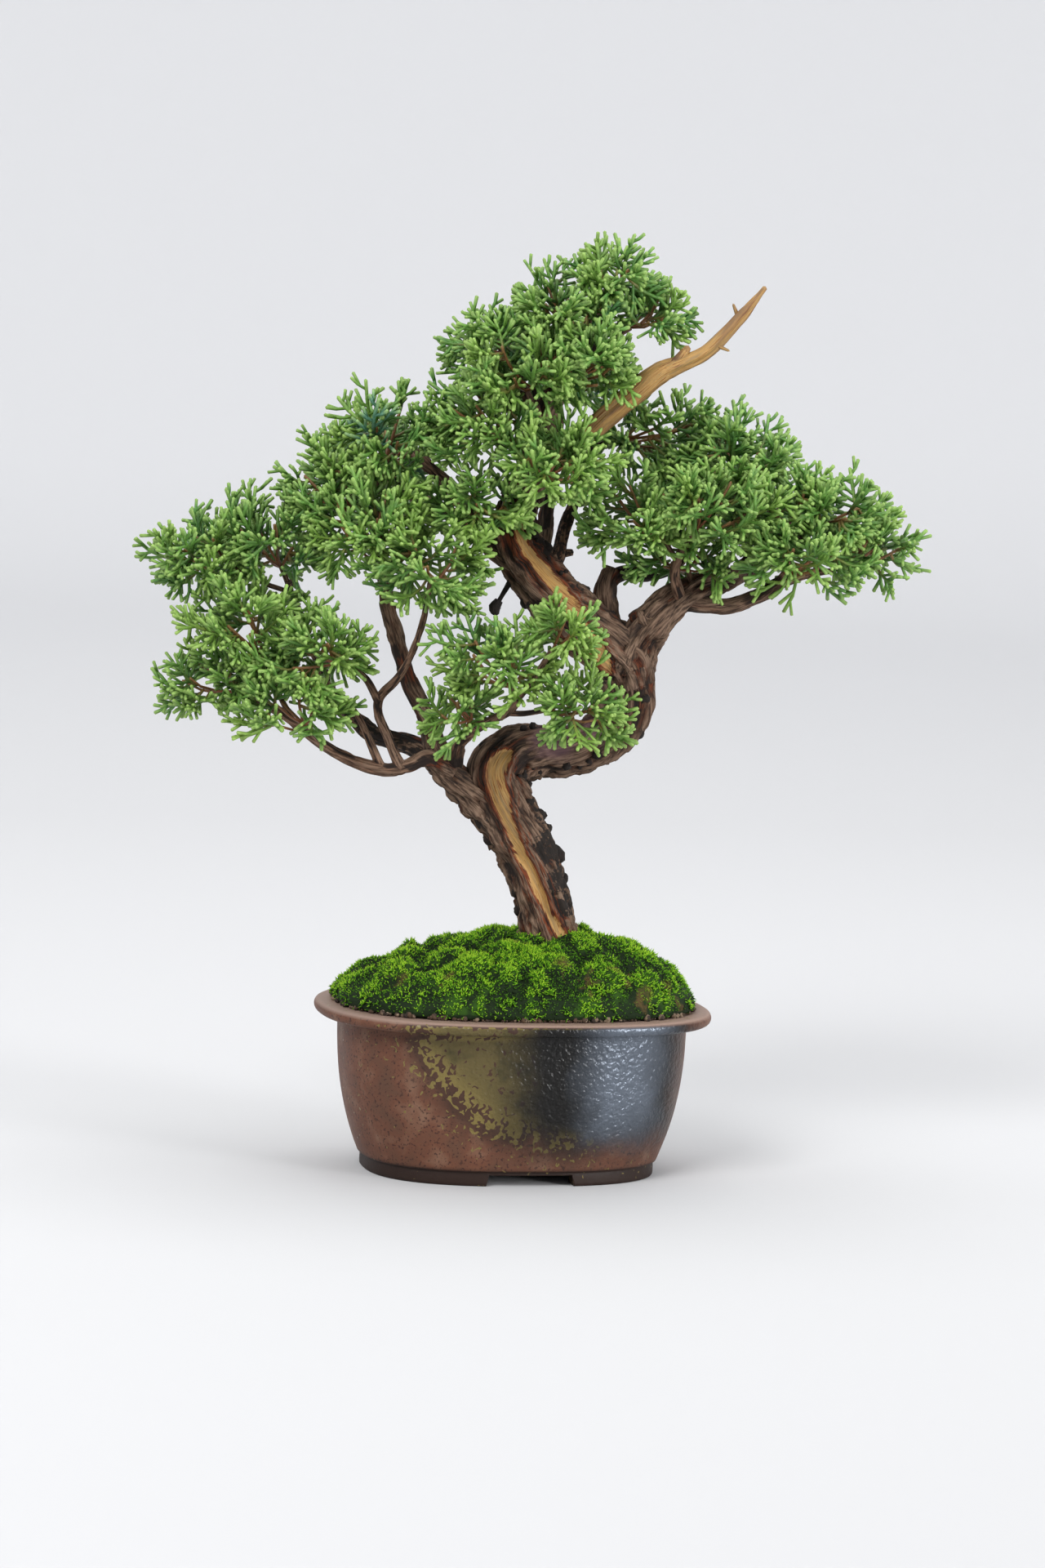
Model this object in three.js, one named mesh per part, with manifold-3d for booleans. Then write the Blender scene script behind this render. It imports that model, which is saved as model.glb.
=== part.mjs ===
// A shimpaku juniper trained as a bonsai, in an oval stoneware pot with a moss mound.
// Millimetres, +Z up. The pot's long side lies along X and its front faces -Y.
// The tree is drawn in its own turned frame: x to the viewer's right, y away, z up.

import * as THREE from 'three';
import { mergeVertices } from 'three/addons/utils/BufferGeometryUtils.js';
import Module from 'manifold-3d';

const wasm = await Module();
wasm.setup();

// Gap between pieces that touch
const GAP = 0.35;
// Turn of the tree's best side from the pot's front, about Z
const TREE_TURN = THREE.MathUtils.degToRad(-14);

// Pot: half length and half width of each oval, and the heights
const OVAL_POWER = 2.5;
const OVAL_SIDES = 38;
const LIP_OVAL = [65.2, 47.6];
const BODY_OVAL = [57.5, 39.9];
const FOOT_OVAL = [48.4, 34.5];
const POT_HEIGHT = 55;
const LIP_THICKNESS = 4.4;
const FOOT_HEIGHT = 5;
const FOOT_WIDTH = 7;
const WALL = 4;
const FLOOR_UNDERSIDE = 4.5;
const FLOOR_TOP = 9.5;
const BELLY_CURVE = 2.4;
const BELLY_RINGS = [FOOT_HEIGHT, 11, 20, 33];
const FOOT_RELIEF = 0.8;
const FOOT_SHOULDER = 0.9;
// Lip section: [how far inside the lip oval, height over the lip's underside]
const LIP_SECTION = [[1.4, 0.2], [0, 1.5], [0.1, LIP_THICKNESS - 1.1], [1.2, LIP_THICKNESS]];
const INNER_LIP_ROUND = 1;
// Inner foot of the wall: [how far inside the inner wall, height over the floor], from the top down
const INNER_FOOT = [[1, 2.5], [4, 0]];
const INNER_STRAIGHT_TO = 24;
// Notches at the front and the back of the foot ring
const NOTCH = { bottom: 29.7, top: 27.8, height: 3.7 };
const DRAIN = { radius: 5.5, offset: 24, sides: 20 };
const SCREEN = { side: 15, thickness: 0.8, bar: 1.5, bars: 3 };

// Mound: soil dome inside the rim, moss over it and onto the inner lip
const SOIL_RIM = 54.6;
const SOIL_RISE = 17.5;
const MOSS_OVAL = [59.5, 41.9];
const MOSS_RISE = 25.5;
const CUSHIONS = 46;
const CUSHION_RADIUS = 9.5;
const CUSHION_HEIGHT = 4;

// Wood limbs: [x, y, z, radius] along each centre line, from its parent outwards
const LIMBS = {
  trunk: [[17.5, 1, 47, 9.9], [16.6, 0, 55, 9.7], [13.4, 0, 66, 9.4], [10.8, 0, 76, 9.1],
    [7.8, -1, 90, 8.4], [3.5, -3, 103.4, 8.6], [-2.1, -4, 114.3, 9.2], [-6.5, -4, 123.6, 9.5],
    [-8.0, -3, 131.4, 9.0], [-3.1, -1, 137.2, 8.6], [4.9, 1, 138.9, 8.0], [15.5, 2, 139.5, 7.6],
    [22.9, 3, 142.2, 7.6], [29.1, 3, 146.9, 7.8], [32.6, 2.5, 153.4, 7.8], [33.2, 2, 159.7, 7.8],
    [31.5, 1, 167.5, 8.8]],
  leader: [[33, 1.5, 161, 7.4], [31.5, 1, 167.5, 8.6], [25.3, 0, 174.8, 9.0], [14.8, 0, 182.9, 8.9],
    [7.4, 0, 189.6, 8.7], [1.0, 0, 197.3, 8.4], [-4.2, 1, 205.6, 7.6], [-5.6, 2, 214.3, 6.4],
    [-4.2, 3, 223.5, 5.2]],
  apex: [[-4.8, 2.7, 220, 5.4], [-1, 4, 233, 4.4], [0.3, 4, 243.6, 3.8], [7.1, 3, 258.6, 3.1],
    [15.1, 3, 269, 2.4], [18.5, 2, 281.6, 1.7], [22.6, 2, 288, 1.2]],
  jin: [[-4.5, 3, 219, 4.2], [-1, 2, 227.5, 3.9], [6, 0, 234.2, 3.4], [12.4, -2, 239.6, 3.4],
    [21.8, -3, 248.5, 3.5], [31, -3, 256.8, 3.7], [39, -3, 263.6, 3.6], [45.4, -3, 266.8, 2.7],
    [53.4, -3, 271.3, 2.2], [64.7, -2, 283.6, 1.8], [71.4, -2, 292.6, 0.7]],
  jin_knob: [[42, -3, 265, 1.9], [46.2, -3.4, 270.2, 1.6], [47.4, -3.5, 272.4, 0.9]],
  jin_splinter_low: [[56, -3, 273.5, 0.8], [60.5, -4, 271.8, 0.4]],
  jin_splinter_high: [[63.5, -2, 282, 0.8], [61.5, -2.5, 286.6, 0.35]],
  apex_left: [[0.2, 4, 242, 2.2], [-4, 3, 254, 1.6], [-7.4, 2, 260.9, 1.3], [-10.5, 1, 266, 0.9]],
  centre_left: [[0, 0, 198, 4.4], [-10, 1, 203, 3.7], [-17, 3, 210, 3.1], [-24, 4, 219, 2.6],
    [-32, 5, 227, 2.0], [-40, 5, 234, 1.4]],
  centre_front: [[-5, 2, 214, 2.6], [-3, -6, 219, 2.0], [0, -13, 223, 1.5], [2, -18, 226, 1.1]],
  back: [[3, 3, 193, 4.0], [2, 15, 200, 3.2], [4, 27, 213, 2.5], [5, 35, 230, 1.9], [7, 39, 247, 1.3]],
  back_left: [[-17, 3, 210, 2.4], [-29, 14, 215, 2.1], [-43, 24, 220, 1.7], [-53, 28, 224, 1.1]],
  dark: [[4, 4, 195, 2.8], [8.3, 6, 201.7, 2.3], [9.6, 10, 209.1, 2.1], [12.8, 12, 219.8, 1.8],
    [16.3, 14, 233.3, 1.5], [21, 15, 241, 1.2]],
  dark_stub: [[9, 7, 203, 1.5], [13, 6, 203.8, 1.1]],
  dead_twig: [[-5, 0, 197, 1.2], [-9.3, -2, 189.2, 0.8], [-10.6, -3, 186.7, 0.8]],
  dead_twig_burr: [[-10.3, -3, 187.6, 1.2], [-11.6, -3.4, 185.2, 2.1], [-11, -4, 183, 1.0]],
  right: [[31, 1, 166, 7.2], [36, 0, 177, 6.2], [41.6, 0, 183.8, 5.6], [47.5, 2, 189, 4.9],
    [53.3, 4, 192.6, 4.1], [63.9, 8, 197.3, 3.3], [74.5, 12, 204, 2.6], [83.7, 14, 210.8, 1.9],
    [90, 13, 214, 1.3]],
  right_knob: [[39, 0, 180, 4.9], [35.7, -1, 186.2, 4.2]],
  right_low: [[50, 2, 190, 3.0], [56, 1, 188.6, 2.6], [64.6, 0, 188.8, 2.3], [73.9, -2, 192.3, 2.4],
    [80.8, -3, 197.4, 2.2], [89.4, -3, 200.4, 1.5], [98, -2, 201.7, 1.0]],
  right_rise: [[49, 0, 190, 2.1], [46.5, -5, 198, 1.6], [47.5, -8, 205, 1.3], [50, -10, 210, 1.0]],
  stub: [[28.5, 2, 170, 4.6], [25.4, 6, 182, 3.8], [25, 8, 193.7, 3.5], [26.8, 9, 198.8, 3.3]],
  stub_side: [[26, 8.5, 195.6, 2.8], [31, 12, 197.5, 2.5], [38, 16, 196.6, 2.2], [46, 22, 198.5, 1.8],
    [53, 34, 206, 1.4], [56, 40, 212, 1.0]],
  left: [[-4, -3, 111, 6.4], [-12, -4, 120, 5.9], [-18, -5, 125.3, 5.3], [-25, -6, 131.5, 4.8],
    [-29.5, -7, 137.5, 4.2]],
  left_tall: [[-28.5, -6.8, 135, 3.9], [-30.5, -7, 143, 3.4], [-33, -7, 150, 3.0],
    [-37.8, -6, 158.5, 2.8], [-41.5, -5, 168.7, 2.6], [-44.9, -4, 179.5, 2.3], [-48, -3, 191.3, 2.1],
    [-50.8, -1, 204.4, 1.8], [-52.4, 2, 216.1, 1.4], [-51, 4, 226, 1.1]],
  left_back: [[-26, -5, 133, 4.0], [-35.5, -2, 138, 3.2], [-42, 1, 139.8, 3.0], [-48.9, 4, 141.1, 2.6],
    [-55.4, 7, 145.7, 2.3], [-63, 10, 152.1, 1.9], [-70.4, 12, 166.4, 1.6], [-77.8, 11, 182.2, 1.4],
    [-80, 8, 190, 1.1]],
  left_front: [[-24, -8, 132, 3.4], [-31.7, -12, 135.5, 2.4], [-37.3, -15, 133.3, 2.2],
    [-46.2, -17, 132.3, 1.9], [-57.7, -18, 135.6, 1.7], [-65.5, -19, 139.9, 1.6], [-73, -19, 145, 1.4],
    [-81, -18, 150, 1.2], [-90, -16, 153.5, 1.0]],
  left_rise: [[-40, -15.6, 132.6, 1.9], [-44.5, -18, 143.1, 1.6], [-47.7, -19, 150.5, 1.5],
    [-47.6, -19, 155.2, 1.5], [-42.8, -20, 160.8, 1.3], [-39.3, -20, 166.3, 1.2],
    [-36.4, -21, 173.4, 1.1], [-34.4, -22, 181, 1.0], [-33, -22, 189, 0.9]],
  left_fork: [[-47.6, -19, 154, 1.4], [-52, -20, 161.5, 1.2], [-57, -22, 165, 0.9]],
  left_inner: [[-46.5, -17, 133, 1.5], [-50, -18.5, 141, 1.2], [-54, -20, 149, 1.0],
    [-60, -22.5, 157, 0.8]],
  front: [[-23, -7, 134, 3.0], [-20.5, -17, 143, 2.0], [-11.4, -27, 150, 1.6], [-5.5, -32, 154, 1.4],
    [-3, -34, 158, 1.1]],
};

// Cross-section sides for a limb of at least this radius
const SECTION_SIDES = [[8, 11], [4, 8], [2.6, 6], [1.7, 5], [0, 4]];
const RELIEF_LEAST_RADIUS = 3;
// Bark relief: [depth as a share of the radius, waves round the limb, turn along it, start]
const RIDGES = [0.07, 3, 9, 0.6];
const FLUTES = [0.045, 5, -17, 0];
const BARE_STRIP = { depth: 0.12, halfWidth: 0.5 };
const NODULES = 6;
const NODULE_RADIUS = 1.7;

// Foliage sprays: [x, y, z] of the middle, [half width, half depth, half height], the limb that
// feeds each one and the place along it, from 0 to 1
const SPRAYS = {
  left: [
    [[-109, -2, 200], [18.5, 23, 15], 'left_back', 0.94], [[-87, 4, 206], [21, 25, 17], 'left_back', 1],
    [[-67, 6, 223], [18.5, 25, 15], 'left_tall', 0.76], [[-91, -18, 178], [22.5, 24, 16], 'left_front', 0.78],
    [[-102, -14, 159], [20, 21, 13.5], 'left_front', 1], [[-70, -26, 170], [20, 23, 17], 'left_fork', 1],
    [[-77, -30, 153], [20, 20, 12], 'left_front', 0.62], [[-45, 4, 242], [21, 25, 16], 'left_tall', 1],
    [[-54, -12, 213], [22, 22, 20], 'left_tall', 0.6], [[-32, -22, 200], [22, 22, 17], 'left_rise', 1],
    [[-55, 36, 229], [22, 25, 15.5], 'back_left', 1]],
  crown: [
    [[-15, 4, 269], [17, 22, 15], 'apex_left', 1], [[7, 2, 286], [18, 22, 14], 'apex', 0.66],
    [[24, 4, 294], [16, 20, 14.5], 'apex', 1], [[36, 9, 283], [14, 18, 11], 'apex', 0.64],
    [[-4, -17, 266], [22, 21, 16], 'apex', 0.35], [[17, -13, 266], [19, 21, 17], 'apex', 0.5],
    [[6, 42, 264], [25, 26, 18], 'back', 1]],
  centre: [
    [[-18, -11, 247], [22, 22, 17], 'apex', 0.18], [[6, -25, 234], [21, 20, 17], 'centre_front', 1],
    [[-17, -14, 219], [20, 20, 14], 'centre_left', 0.4]],
  right: [
    [[42, 20, 243], [21, 23, 15], 'dark', 1], [[62.5, 14, 239], [21.5, 25, 16], 'right', 0.72],
    [[34, -6, 219], [22, 22, 18], 'right_rise', 0.6], [[59, -12, 222], [24, 22, 17], 'right_rise', 1],
    [[80, 4, 222], [22.5, 23, 16.5], 'right', 0.9], [[99.5, 1, 221], [18, 21, 13.5], 'right', 1],
    [[112, 5, 210], [16, 19, 13], 'right_low', 1], [[50, 3, 203], [19, 20, 12], 'right', 0.5],
    [[87, -11, 208], [22, 20, 12], 'right_low', 0.62], [[60, 48, 226], [28, 27, 19], 'stub_side', 1]],
  front: [
    [[-10, -38, 172], [20, 19, 15], 'front', 1], [[12, -45, 182], [14, 14, 12], 'front', 0.86],
    [[19, -40, 157], [15.5, 17, 15], 'front', 0.72], [[-21, -34, 155], [13.5, 15, 12.5], 'front', 0.4]],
};
const TWIG_SIDES = 3;
const TWIG_RINGS = 2;
const TWIG_TIP_RADIUS = 0.85;
const TWIG_MOST_RADIUS = 1.5;
const TWIG_ROOT_SHARE = 0.7;
const TWIG_SAG = 0.05;
const TWIG_END = 3;
const HUB_PLACE = 0.72;
const TWIG_LEAST = 3.5;
// Each spray has a small core. Forked shoots stand on the core's faces, apart from the lowest ones
const CORE_SHARE = 0.44;
const CORE_LEAST = 1.6;
const CORE_ROUNDS = 12;
const CORE_DRAW_IN = 0.87;
// Places on a face, as shares of its three corners, where it is tested for clearance
const FACE_SAMPLES = [
  [1 / 3, 1 / 3, 1 / 3], [2 / 3, 1 / 6, 1 / 6], [1 / 6, 2 / 3, 1 / 6], [1 / 6, 1 / 6, 2 / 3],
  [0.5, 0.5, 0], [0, 0.5, 0.5], [0.5, 0, 0.5], [1, 0, 0],
];
const SHOOT_LOWEST = -0.45;
const SHOOT_TURN = THREE.MathUtils.degToRad(14);
const SHOOT_LEAST = 4.5;
const ROOT_RADIUS = 0.95;
const FORK_RADIUS = 1.45;
const FORK_PLACE = 0.42;
const FORK_RISE = 1.2;
const PRONG_ANGLE = THREE.MathUtils.degToRad(27);
const PRONG_RADIUS = 0.7;
const PRONG_LEAST = 2;
const STEM_RADIUS = 1.1;
const SPACING_STEP = 0.8;
const SHOOT_SPACING = 2.3;
const GOLDEN_ANGLE = Math.PI * (3 - Math.sqrt(5));

const COLOURS = {
  pot: 0x6a4a3c, screen: 0x2c2c2a, soil: 0x4a3a2c, moss: 0x4f9a1e, wood: 0x75604e,
  left: 0x55954a, crown: 0x5c9c4a, centre: 0x589848, right: 0x4b8c48, front: 0x62a352,
};

// A draw between 0 and 1 that is always the same for the same three whole numbers
function draw(i, j, k) {
  const wave = Math.sin(i * 12.9898 + j * 78.233 + k * 37.719) * 43758.5453;
  return wave - Math.floor(wave);
}

// A geometry with positions alone
function bareGeometry(geometry) {
  const bare = new THREE.BufferGeometry();
  bare.setAttribute('position', geometry.getAttribute('position'));
  bare.setIndex(geometry.index);
  return bare;
}

// A closed three.js geometry as a solid that can be joined and cut
function solid(geometry) {
  const merged = mergeVertices(bareGeometry(geometry), 1e-4);
  const corners = [];
  const index = merged.index.array;
  for (let i = 0; i < index.length; i += 3) {
    const [a, b, c] = [index[i], index[i + 1], index[i + 2]];
    if (a !== b && b !== c && c !== a) corners.push(a, b, c);
  }
  const vertProperties = merged.attributes.position.array;
  const build = (triangles) => new wasm.Manifold(
    new wasm.Mesh({ numProp: 3, vertProperties, triVerts: new Uint32Array(triangles) }));
  const made = build(corners);
  return made.volume() > 0 ? made : build(corners.reverse());
}

// Solids joined in one body, without the loose scraps that a join can leave
function joined(parts) {
  const bodies = wasm.Manifold.union(parts).decompose();
  return bodies.sort((a, b) => b.volume() - a.volume())[0];
}

// The geometry of a joined solid
function geometryOf(manifold) {
  const mesh = manifold.getMesh();
  const geometry = new THREE.BufferGeometry();
  geometry.setAttribute('position', new THREE.BufferAttribute(mesh.vertProperties, 3));
  geometry.setIndex(new THREE.BufferAttribute(mesh.triVerts, 1));
  geometry.computeVertexNormals();
  return geometry;
}

function piece(name, manifold, colour, roughness) {
  const finish = { color: colour, roughness, metalness: 0, flatShading: true };
  const mesh = new THREE.Mesh(geometryOf(manifold), new THREE.MeshStandardMaterial(finish));
  mesh.name = name;
  return mesh;
}

// Distance from the axis to an oval of half length a and half width b, in the direction of an angle
function ovalReach(a, b, angle) {
  const along = Math.abs(Math.cos(angle) / a) ** OVAL_POWER;
  const across = Math.abs(Math.sin(angle) / b) ** OVAL_POWER;
  return (along + across) ** (-1 / OVAL_POWER);
}

// A turned shape pressed to ovals: each ring is [half length, half width, z], from axis to axis.
// height, when given, changes z by place.
function ovalSolid(rings, height = (x, y, z) => z) {
  const outline = rings.map(([a, , z]) => new THREE.Vector2(a, z));
  const geometry = new THREE.LatheGeometry(outline, OVAL_SIDES);
  const position = geometry.getAttribute('position');
  for (let i = 0; i < position.count; i += 1) {
    const ring = rings[i % rings.length];
    const angle = 2 * Math.PI * (Math.floor(i / rings.length) % OVAL_SIDES) / OVAL_SIDES;
    const reach = ring[0] > 0 ? ovalReach(ring[0], ring[1], angle) : 0;
    const x = reach * Math.cos(angle);
    const y = reach * Math.sin(angle);
    position.setXYZ(i, x, y, height(x, y, ring[2], i % rings.length));
  }
  return solid(geometry);
}

// Outer wall from the foot up to the lip: steep at the foot, upright under the lip
function bellyRing(z) {
  const rise = (z - FOOT_HEIGHT) / (POT_HEIGHT - LIP_THICKNESS - FOOT_HEIGHT);
  const share = 1 - (1 - rise) ** BELLY_CURVE;
  return [0, 1].map((k) => {
    const foot = FOOT_OVAL[k] + FOOT_SHOULDER;
    return foot + (BODY_OVAL[k] - foot) * share;
  }).concat(z);
}

const inset = ([a, b], by, height) => [a - by, b - by, height];
const innerRing = (z) => inset(bellyRing(z), WALL, z);
const innerFootRing = (by, z) => inset(bellyRing(FLOOR_TOP + 4), WALL + by, z);

function notchBar(bottom, top, length) {
  const shape = new THREE.Shape([[-bottom / 2, -1], [bottom / 2, -1], [top / 2, NOTCH.height],
    [-top / 2, NOTCH.height]].map(([x, y]) => new THREE.Vector2(x, y)));
  return new THREE.ExtrudeGeometry(shape, { depth: length, bevelEnabled: false })
    .translate(0, 0, -length / 2).rotateX(Math.PI / 2);
}

function makePot() {
  const lipUnder = POT_HEIGHT - LIP_THICKNESS;
  const rings = [
    [0, 0, FLOOR_UNDERSIDE],
    inset(FOOT_OVAL, FOOT_WIDTH, FLOOR_UNDERSIDE), inset(FOOT_OVAL, FOOT_WIDTH, 0),
    [...FOOT_OVAL, 0], [...FOOT_OVAL, FOOT_HEIGHT - FOOT_RELIEF],
    ...[...BELLY_RINGS, lipUnder].map(bellyRing),
    ...LIP_SECTION.map(([by, rise]) => inset(LIP_OVAL, by, lipUnder + rise)),
    inset(BODY_OVAL, WALL - INNER_LIP_ROUND, POT_HEIGHT),
    inset(BODY_OVAL, WALL, POT_HEIGHT - INNER_LIP_ROUND),
    innerRing(INNER_STRAIGHT_TO),
    ...INNER_FOOT.map(([by, rise]) => innerFootRing(by, FLOOR_TOP + rise)), [0, 0, FLOOR_TOP],
  ];
  let pot = ovalSolid(rings);
  pot = pot.subtract(solid(notchBar(NOTCH.bottom, NOTCH.top, 2 * BODY_OVAL[1])));
  for (const side of [-1, 1]) {
    const drain = new THREE.CylinderGeometry(DRAIN.radius, DRAIN.radius, 2 * FLOOR_TOP, DRAIN.sides);
    pot = pot.subtract(solid(drain.rotateX(Math.PI / 2).translate(side * DRAIN.offset, 0, FLOOR_TOP / 2)));
  }
  return pot;
}

const SCREEN_BOTTOM = FLOOR_TOP + GAP;

// A square of plastic mesh over a drain hole: crossed bars joined in one sheet
function makeScreen(side) {
  const bars = [];
  for (let k = 0; k < SCREEN.bars; k += 1) {
    const place = (k / (SCREEN.bars - 1) - 0.5) * (SCREEN.side - SCREEN.bar);
    bars.push(new THREE.BoxGeometry(SCREEN.side, SCREEN.bar, SCREEN.thickness).translate(0, place, 0));
    bars.push(new THREE.BoxGeometry(SCREEN.bar, SCREEN.side, SCREEN.thickness).translate(place, 0, 0));
  }
  const place = [side * DRAIN.offset, 0, SCREEN_BOTTOM + SCREEN.thickness / 2];
  return wasm.Manifold.union(bars.map((bar) => solid(bar.translate(...place))));
}

// The soil's surface and the underside of the moss share these rings, so their facets run parallel
const SOIL_OVAL = [BODY_OVAL[0] - WALL - GAP, BODY_OVAL[1] - WALL - GAP];
const DOME_SHARES = [0.92, 0.7, 0.4];
const domeRings = (lift) => DOME_SHARES.map((share) => [SOIL_OVAL[0] * share, SOIL_OVAL[1] * share,
  SOIL_RIM + SOIL_RISE * (1 - share ** 2) ** 0.8 + lift]);

function makeSoil(trunkHole) {
  const bottom = SCREEN_BOTTOM;
  const [high, low] = INNER_FOOT.map(([by, rise]) => innerFootRing(by + GAP, bottom + rise));
  const rings = [
    [0, 0, bottom], low, high, inset(innerRing(INNER_STRAIGHT_TO), GAP, INNER_STRAIGHT_TO),
    [...SOIL_OVAL, SOIL_RIM - 1], inset(SOIL_OVAL, 0.3, SOIL_RIM),
    ...domeRings(0), [0, 0, SOIL_RIM + SOIL_RISE],
  ];
  let soil = ovalSolid(rings).subtract(trunkHole);
  const pocketSide = SCREEN.side + 2 * GAP;
  for (const side of [-1, 1]) {
    const pocket = new THREE.BoxGeometry(pocketSide, pocketSide, 2 * (SCREEN.thickness + GAP));
    soil = soil.subtract(solid(pocket.translate(side * DRAIN.offset, 0, bottom)));
  }
  return soil;
}

// Cushions of moss: middles on a spiral over the mound, each a low dome; the highest one counts
const cushions = Array.from({ length: CUSHIONS }, (_, k) => {
  const share = Math.sqrt((k + 0.5) / CUSHIONS);
  const angle = k * GOLDEN_ANGLE;
  const reach = ovalReach(...MOSS_OVAL, angle) * share;
  return [reach * Math.cos(angle), reach * Math.sin(angle), CUSHION_RADIUS * (0.75 + 0.5 * draw(k, 1, 7))];
});

function cushionRise(x, y) {
  return cushions.reduce((most, [u, v, r]) => {
    const near = 1 - ((x - u) ** 2 + (y - v) ** 2) / r ** 2;
    return Math.max(most, near);
  }, 0) * CUSHION_HEIGHT;
}

const MOSS_SHARES = [0.99, 0.94, 0.86, 0.76, 0.65, 0.53, 0.4, 0.26, 0.12];
const MOSS_EDGE = 2;
// The mound stands up steeply at its edge, and its dome is higher towards +X
const MOSS_SHOULDER = { height: 5, power: 10 };
const MOSS_LEAN = 0.4;
const MOSS_FADE = 12;

function makeMoss(trunkHole) {
  const base = POT_HEIGHT + GAP;
  const lift = GAP + 0.1;
  const scaled = (share, z) => [MOSS_OVAL[0] * share, MOSS_OVAL[1] * share, z];
  const under = domeRings(lift).reverse();
  const rings = [
    [0, 0, SOIL_RIM + SOIL_RISE + lift], ...under, [...SOIL_OVAL, base], scaled(0.985, base),
    scaled(1, base + 0.7 * MOSS_EDGE), ...[...MOSS_SHARES, 0].map((share) => scaled(share, base + MOSS_EDGE)),
  ];
  const topFrom = under.length + 4;
  const shape = (x, y, z, ring) => {
    if (ring < topFrom) return z;
    const angle = Math.atan2(y, x);
    const share = Math.min(1, Math.hypot(x, y) / ovalReach(...MOSS_OVAL, angle));
    const fade = Math.min(1, (1 - share) * MOSS_FADE);
    const shoulder = MOSS_SHOULDER.height * Math.sqrt(1 - share ** MOSS_SHOULDER.power);
    const domeHeight = MOSS_RISE - MOSS_EDGE - MOSS_SHOULDER.height - CUSHION_HEIGHT;
    const dome = domeHeight * (1 - share ** 2) * (1 + MOSS_LEAN * x / MOSS_OVAL[0]);
    return z + shoulder + dome + cushionRise(x, y) * fade;
  };
  return ovalSolid(rings, shape).subtract(trunkHole);
}

// A limb: its centre line, and its radius between the listed points
class Limb {
  constructor(points) {
    this.points = points;
    const places = points.map(([x, y, z]) => new THREE.Vector3(x, y, z));
    this.curve = new THREE.CatmullRomCurve3(places, false, 'centripetal');
  }

  at(t) {
    return this.curve.getPoint(Math.min(1, Math.max(0, t)));
  }

  radiusAt(t) {
    const place = Math.min(1, Math.max(0, t)) * (this.points.length - 1);
    const first = Math.min(Math.floor(place), this.points.length - 2);
    const from = this.points[first][3];
    const to = this.points[first + 1][3];
    return from + (to - from) * (place - first);
  }

  get thickest() {
    return Math.max(...this.points.map((point) => point[3]));
  }
}

// Frames along a curve that turn no more than the curve does
function frames(curve, count) {
  const made = [];
  let side = new THREE.Vector3(0, -1, 0);
  for (let k = 0; k <= count; k += 1) {
    const t = k / count;
    const tangent = curve.getTangent(t);
    side = side.clone().addScaledVector(tangent, -side.dot(tangent)).normalize();
    made.push({ t, centre: curve.getPoint(t), tangent, side, other: tangent.clone().cross(side) });
  }
  return made;
}

// Bark relief: three long ridges, finer flutes, and a sunken bare strip that faces the viewer
function barkRelief(angle, t, bareStrip) {
  const wave = ([depth, round, along, start]) => depth * Math.cos(round * angle + along * t + start);
  const strip = bareStrip ? BARE_STRIP.depth * Math.exp(-((angle / BARE_STRIP.halfWidth) ** 2)) : 0;
  return 1 + wave(RIDGES) + wave(FLUTES) - strip;
}

// A tapering tube with flat ends: a cylinder whose rings are carried along the limb
function limbGeometry(limb, sides, ringCount, { relief = false, bareStrip = false } = {}) {
  const geometry = new THREE.CylinderGeometry(1, 1, 1, sides, ringCount);
  const position = geometry.getAttribute('position');
  const places = frames(limb.curve, ringCount);
  for (let i = 0; i < position.count; i += 1) {
    const frame = places[Math.round((position.getY(i) + 0.5) * ringCount)];
    const angle = Math.atan2(position.getX(i), position.getZ(i));
    const shape = relief ? barkRelief(angle, frame.t, bareStrip) : 1;
    const reach = limb.radiusAt(frame.t) * shape * Math.hypot(position.getX(i), position.getZ(i));
    const point = frame.centre.clone()
      .addScaledVector(frame.side, reach * Math.cos(angle))
      .addScaledVector(frame.other, reach * Math.sin(angle));
    position.setXYZ(i, point.x, point.y, point.z);
  }
  return geometry;
}

const limbs = Object.fromEntries(Object.entries(LIMBS).map(([name, points]) => [name, new Limb(points)]));
const barked = new Set(['trunk', 'leader']);

function limbSolid(name, limb) {
  const sides = SECTION_SIDES.find(([least]) => limb.thickest >= least)[1];
  const ringCount = limb.points.length - 1 + (barked.has(name) ? 5 : 0);
  const relief = limb.thickest >= RELIEF_LEAST_RADIUS;
  return solid(limbGeometry(limb, sides, ringCount, { relief, bareStrip: barked.has(name) }));
}

// Small knots on the outer side of the trunk and the leader
function noduleSolids() {
  return Array.from({ length: NODULES }, (_, k) => {
    const limb = k % 3 === 0 ? limbs.leader : limbs.trunk;
    const t = 0.22 + 0.72 * ((k + draw(k, 3, 1)) / NODULES) * (k % 3 === 0 ? 0.5 : 1);
    const { centre, side, other } = frames(limb.curve, 40)[Math.round(t * 40)];
    const angle = Math.PI * (0.5 + 0.5 * draw(k, 5, 2)) * (k % 2 ? 1 : -1);
    const out = side.clone().multiplyScalar(Math.cos(angle)).addScaledVector(other, Math.sin(angle));
    const knot = new THREE.OctahedronGeometry(NODULE_RADIUS * (0.8 + 0.5 * draw(k, 2, 9)), 0);
    return solid(knot.translate(...centre.clone().addScaledVector(out, limb.radiusAt(t) * 0.98)));
  });
}

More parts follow.
